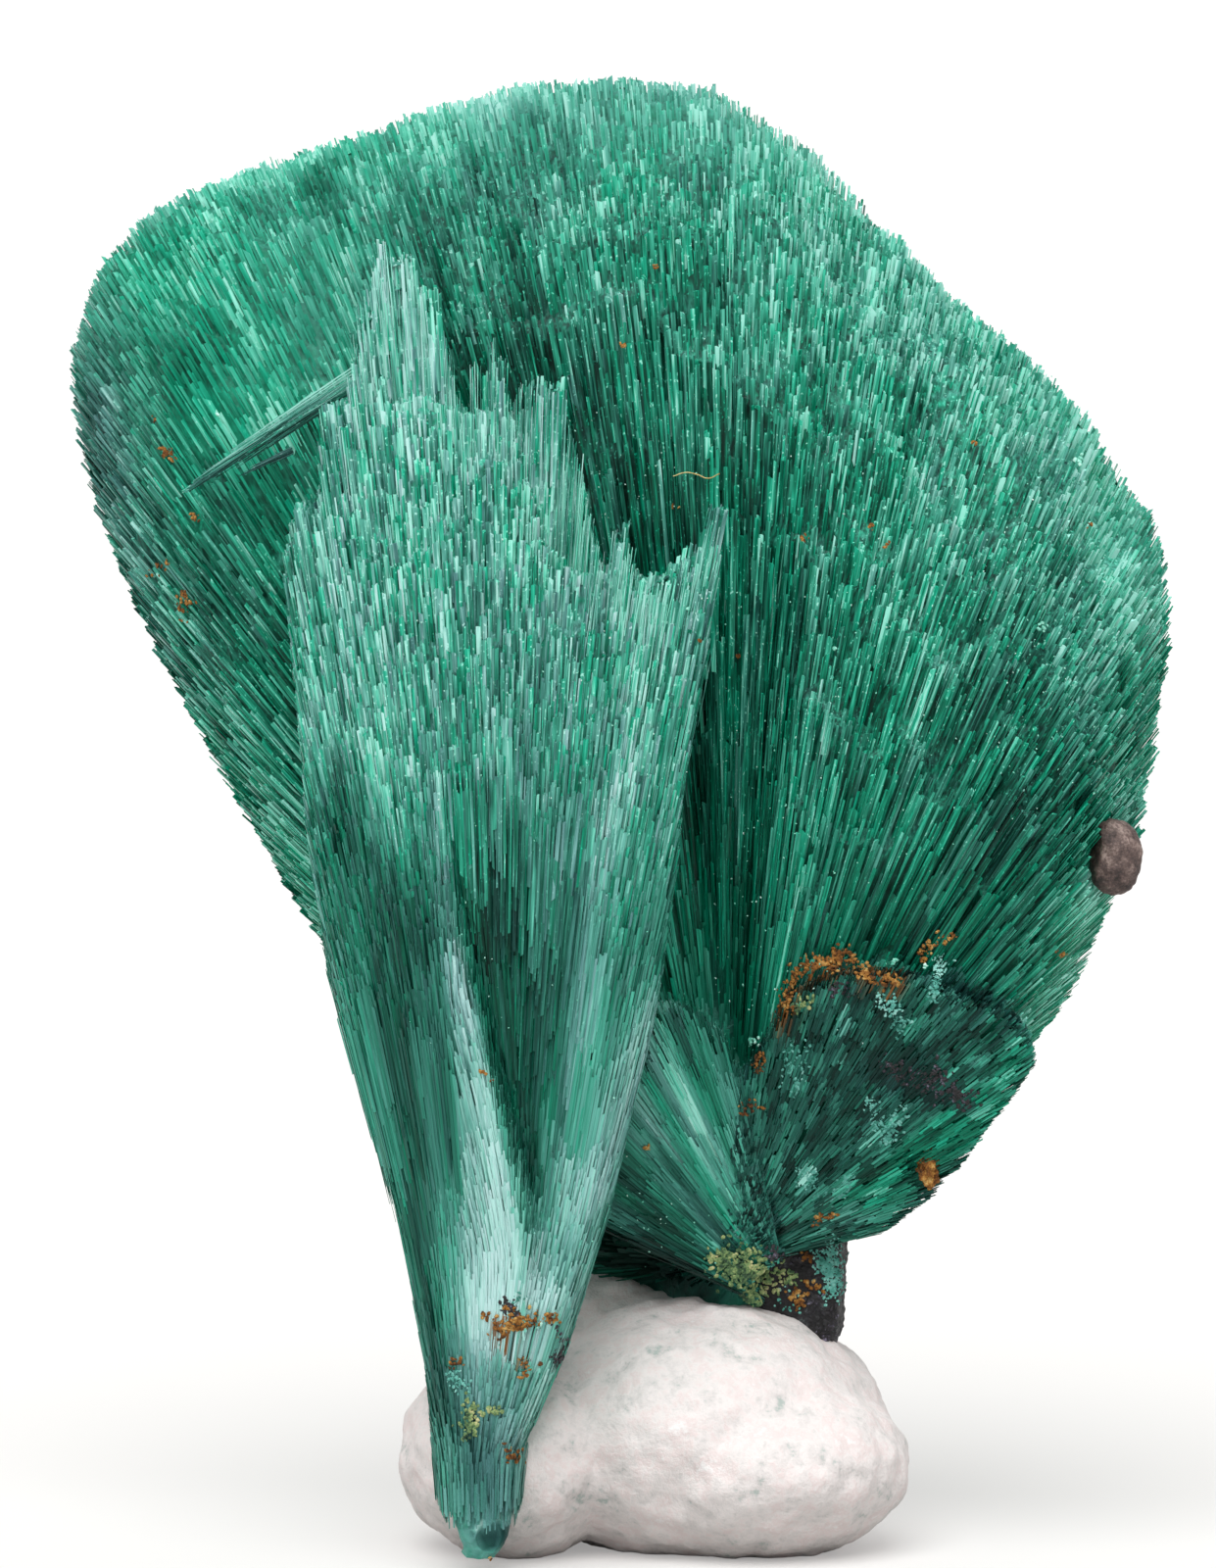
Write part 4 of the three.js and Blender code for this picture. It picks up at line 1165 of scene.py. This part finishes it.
bloomGrains = dict(
    shape="crumb", seed=43, size=(0.03, 0.09), flat=0.25, stand=0.3,
    patches=[
        (0.12, 120, (6.3, 11.5), (6.42, 11.9), (6.52, 12.3)),
        (0.16, 90, (5.3, 11.5), (5.48, 11.3), (5.75, 10.95)),
        (0.2, 60, (3.45, 10.45), (3.55, 10), (3.5, 9.7)),
        (0.11, 90, (5.12, 9.4), (5.22, 9), (5.25, 8.75)),
        (0.13, 120, (5.75, 9.25), (5.55, 8.8), (5.34, 8.5)), (0.16, 80, (3.8, 7.85), (3.9, 7.5)),
        (0.11, 90, (4.8, 7.85), (4.6, 7.55), (4.3, 7.2)), (0.2, 420, (4.2, 5.9), (4.4, 5.6), (4.45, 5.1)),
        (0.15, 80, (4.3, 6.3), (4.4, 6)), (0.2, 20, (3.4, 5.1), (3.6, 4.8)),
        (0.15, 50, (-3.35, 4.1), (-3.2, 3.9)), (0.07, 12, (-2.1, 5.72), (-1.9, 5.78)),
        (0.07, 12, (-2.35, 4.85), (-2.3, 4.7)),
    ],
)
crustGrains = dict(
    shape="grain", seed=44, size=(0.04, 0.12), flat=0.45, stand=0.2,
    patches=[
        (0.28, 340, (2, 6), (2.3, 5.75), (2.6, 5.9), (2.8, 5.6), (3, 5.3)),
        (0.14, 50, (2.5, 5.3), (2.9, 5.05)), (0.12, 30, (3.25, 5.6), (3.6, 5.4)),
        (0.1, 20, (3.55, 11.2), (3.9, 11.5)), (0.16, 40, (-3.1, 3.6), (-2.9, 3.3)),
        (0.14, 36, (-3.05, 3.2), (-2.95, 3)), (0.08, 10, (-2.55, 3.45), (-2.4, 3.4)),
    ],
)
chips = dict(
    shape="crumb", seed=45, size=(0.06, 0.12), flat=0.6, stand=0.8,
    patches=[
        (0.02, 2, (-8.16, 23.11), (-8.15, 23.1)), (0.03, 3, (4.28, 18.6), (4.36, 18.55)),
        (0.08, 8, (9.3, 22.25), (9.38, 22.15)), (0.03, 3, (5.32, 21.38), (5.4, 21.34)),
        (0.08, 8, (8.45, 19.05), (8.52, 18.95)), (0.03, 3, (1.35, 19.45), (1.38, 19.4)),
        (0.05, 8, (2.7, 10.5), (2.85, 10.44)), (0.05, 8, (-1.6, 5.2), (-1.57, 5.05)),
        (0.06, 4, (5.5, 12.15), (5.55, 12.1)), (0.05, 3, (6.1, 12.12), (6.15, 12.1)),
    ],
)
sparkles = dict(
    shape="crumb", seed=46, size=(0.015, 0.045), flat=0.8, stand=1.2,
    patches=[
        (1.4, 260, (-1.4, 23), (1.5, 20), (3, 16), (2.8, 11)), (2.2, 240, (5, 25), (7, 21), (6, 16)),
        (1.4, 150, (8.8, 21), (9.8, 16.5)), (1.6, 60, (-2, 16), (-1.6, 11)),
        (1.6, 90, (-4, 22), (-3, 18), (1, 17)), (0.8, 40, (-0.2, 7.6), (1.6, 6.2)),
    ],
)
frontTrees = list(skinTrees.values())


def scatterGrains(name, spec, material, trees):
    random = np.random.default_rng(spec["seed"])
    places, normals = [], []
    for halfWidth, number, *line in spec["patches"]:
        line = np.array(line)
        for _ in range(number):
            way = random.uniform(0, len(line) - 1)
            first = int(way)
            x, z = line[first] + (way - first) * (line[first + 1] - line[first])
            x, z = (x, z) + random.normal(0, 0.7 * halfWidth, 2)
            found = onSurface(x, z, trees)
            if found:
                places.append(found[0])
                normals.append(found[1])
    normals = np.array(normals)
    count = len(normals)
    first = unit(np.cross(normals, random.normal(0, 1, (count, 3))))
    second = np.cross(normals, first)
    sizes = random.uniform(*spec["size"], count)[:, None]
    longer = random.uniform(0.7, 1.5, (count, 1))
    thick = normals * sizes * spec["flat"]
    places = np.array(places) + thick * spec["stand"]
    axes = np.stack([first * sizes * longer, second * sizes / longer, thick], axis=1)
    obj = stampCopies(name, shapes[spec["shape"]], places, axes, material)
    print(name, count, "grains")
    return obj


# A fibre of lint lies across the valley
lint = dict(
    line=[(1.09, 21.95), (1.35, 22.03), (1.58, 21.99), (1.78, 21.92), (2.02, 22.02)],
    thick=0.022, above=0.07,
)


def layLint(spec):
    deselect()
    bpy.ops.curve.primitive_bezier_curve_add(location=(0, 0, 0))
    fibre = bpy.context.object
    spline = fibre.data.splines[0]
    spline.bezier_points.add(len(spec["line"]) - 2)
    for point, (x, z) in zip(spline.bezier_points, spec["line"]):
        place, normal = onSurface(x, z, frontTrees)
        point.co = Vector(place - np.array((0, spec["above"], 0))) * mm
        point.handle_left_type = point.handle_right_type = "AUTO"
    fibre.data.bevel_depth, fibre.data.bevel_resolution = spec["thick"] / 2 * mm, 2
    fibre.data.use_fill_caps = True
    bpy.ops.object.convert(target="MESH")
    fibre = bpy.context.object
    fibre.name = fibre.data.name = "lint_fibre"
    fibre.data.materials.append(cotton)
    return fibre


rockTrees = frontTrees + [BVHTree.FromObject(rockPiece, bpy.context.evaluated_depsgraph_get())]
fanGrains = [
    scatterGrains("limonite_grains", rustGrains, limonite, rockTrees),
    scatterGrains("goethite_grains", blackGrains, blackGoethite, rockTrees),
    scatterGrains("turquoise_bloom", bloomGrains, paleBloom, rockTrees),
    scatterGrains("root_crust", crustGrains, rootCrust, rockTrees),
    scatterGrains("loose_chips", chips, brightChips, frontTrees),
    scatterGrains("sparkling_grit", sparkles, brightChips, frontTrees),
    layLint(lint),
]

print("grains and lint laid")


# Floor, light and backdrop
studio = dict(
    floor="#c2c1bf", glow="#fffdfc", floorGlow=0.3, floorSize=20000.0,
    keyStrength=2.5, keyAngle=50.0, keyFrom=(-0.1, -0.6, 1.0),
    backdrop="#f8f8f7", roomTop=1.0, roomFront=0.6,
)


def makeStage(spec):
    deselect()
    bpy.ops.mesh.primitive_plane_add(size=spec["floorSize"] * mm)
    floor = bpy.context.object
    floor.name = "pale_floor"
    material, tree = newMaterial("paleTable")
    # its own glow is for the picture alone, so that the putty keeps its shaded lower side
    seen = addNode(tree, "LightPath").outputs["Is Camera Ray"]
    surface = addNode(tree, "BsdfPrincipled", {
        "Base Color": toLinear(spec["floor"]), "Roughness": 0.8, "Emission Color": toLinear(spec["glow"]),
        "Emission Strength": mathNode(tree, "MULTIPLY", seen, spec["floorGlow"]),
    })
    addNode(tree, "OutputMaterial", {"Surface": surface.outputs["BSDF"]})
    floor.data.materials.append(material)
    floor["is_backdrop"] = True

    towards = Vector(spec["keyFrom"])
    bpy.ops.object.light_add(type="SUN", rotation=towards.to_track_quat("Z", "Y").to_euler())
    key = bpy.context.object
    key.name = "softbox_key"
    key.data.energy, key.data.angle = spec["keyStrength"], radians(spec["keyAngle"])

    world = bpy.data.worlds.new("white_room")
    bpy.context.scene.world = world
    world.use_nodes = True
    tree = world.node_tree
    tree.nodes.clear()
    way = addNode(tree, "TexCoord").outputs["Generated"]
    # the room is white overhead and behind, and dimmer in front, where the camera stands
    lean = addNode(tree, "VectorMath", {0: way, 1: (0, 0.5, 0.87)}, operation="DOT_PRODUCT")
    glow = rangeNode(tree, lean.outputs["Value"], -0.5, 0.8, spec["roomFront"], spec["roomTop"])
    room = addNode(tree, "Background", {"Strength": glow})
    backdrop = addNode(tree, "Background", {"Color": toLinear(spec["backdrop"])})
    seen = addNode(tree, "LightPath").outputs["Is Camera Ray"]
    both = addNode(tree, "MixShader", {0: seen, 1: room.outputs[0], 2: backdrop.outputs[0]})
    addNode(tree, "OutputWorld", {"Surface": both.outputs[0]})
    bpy.context.scene.view_settings.view_transform = "Standard"


makeStage(studio)


# What each piece rides on and stands for
for piece in fanNeedles + [fanMass]:
    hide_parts("back_fan")
for piece in sheafNeedles + [sheafMass]:
    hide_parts("front_sheaf")
solids = [fanMass, sheafMass, rockPiece, nodulePiece, ochrePiece, puttyPiece]
for piece in fanNeedles + sheafNeedles + fanGrains + solids:
    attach(piece, "root")

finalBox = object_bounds()
print("CAD box and visual box (mm):")
for low, high in (cadBox, finalBox):
    print([round(c / mm, 2) for c in low], [round(c / mm, 2) for c in high])
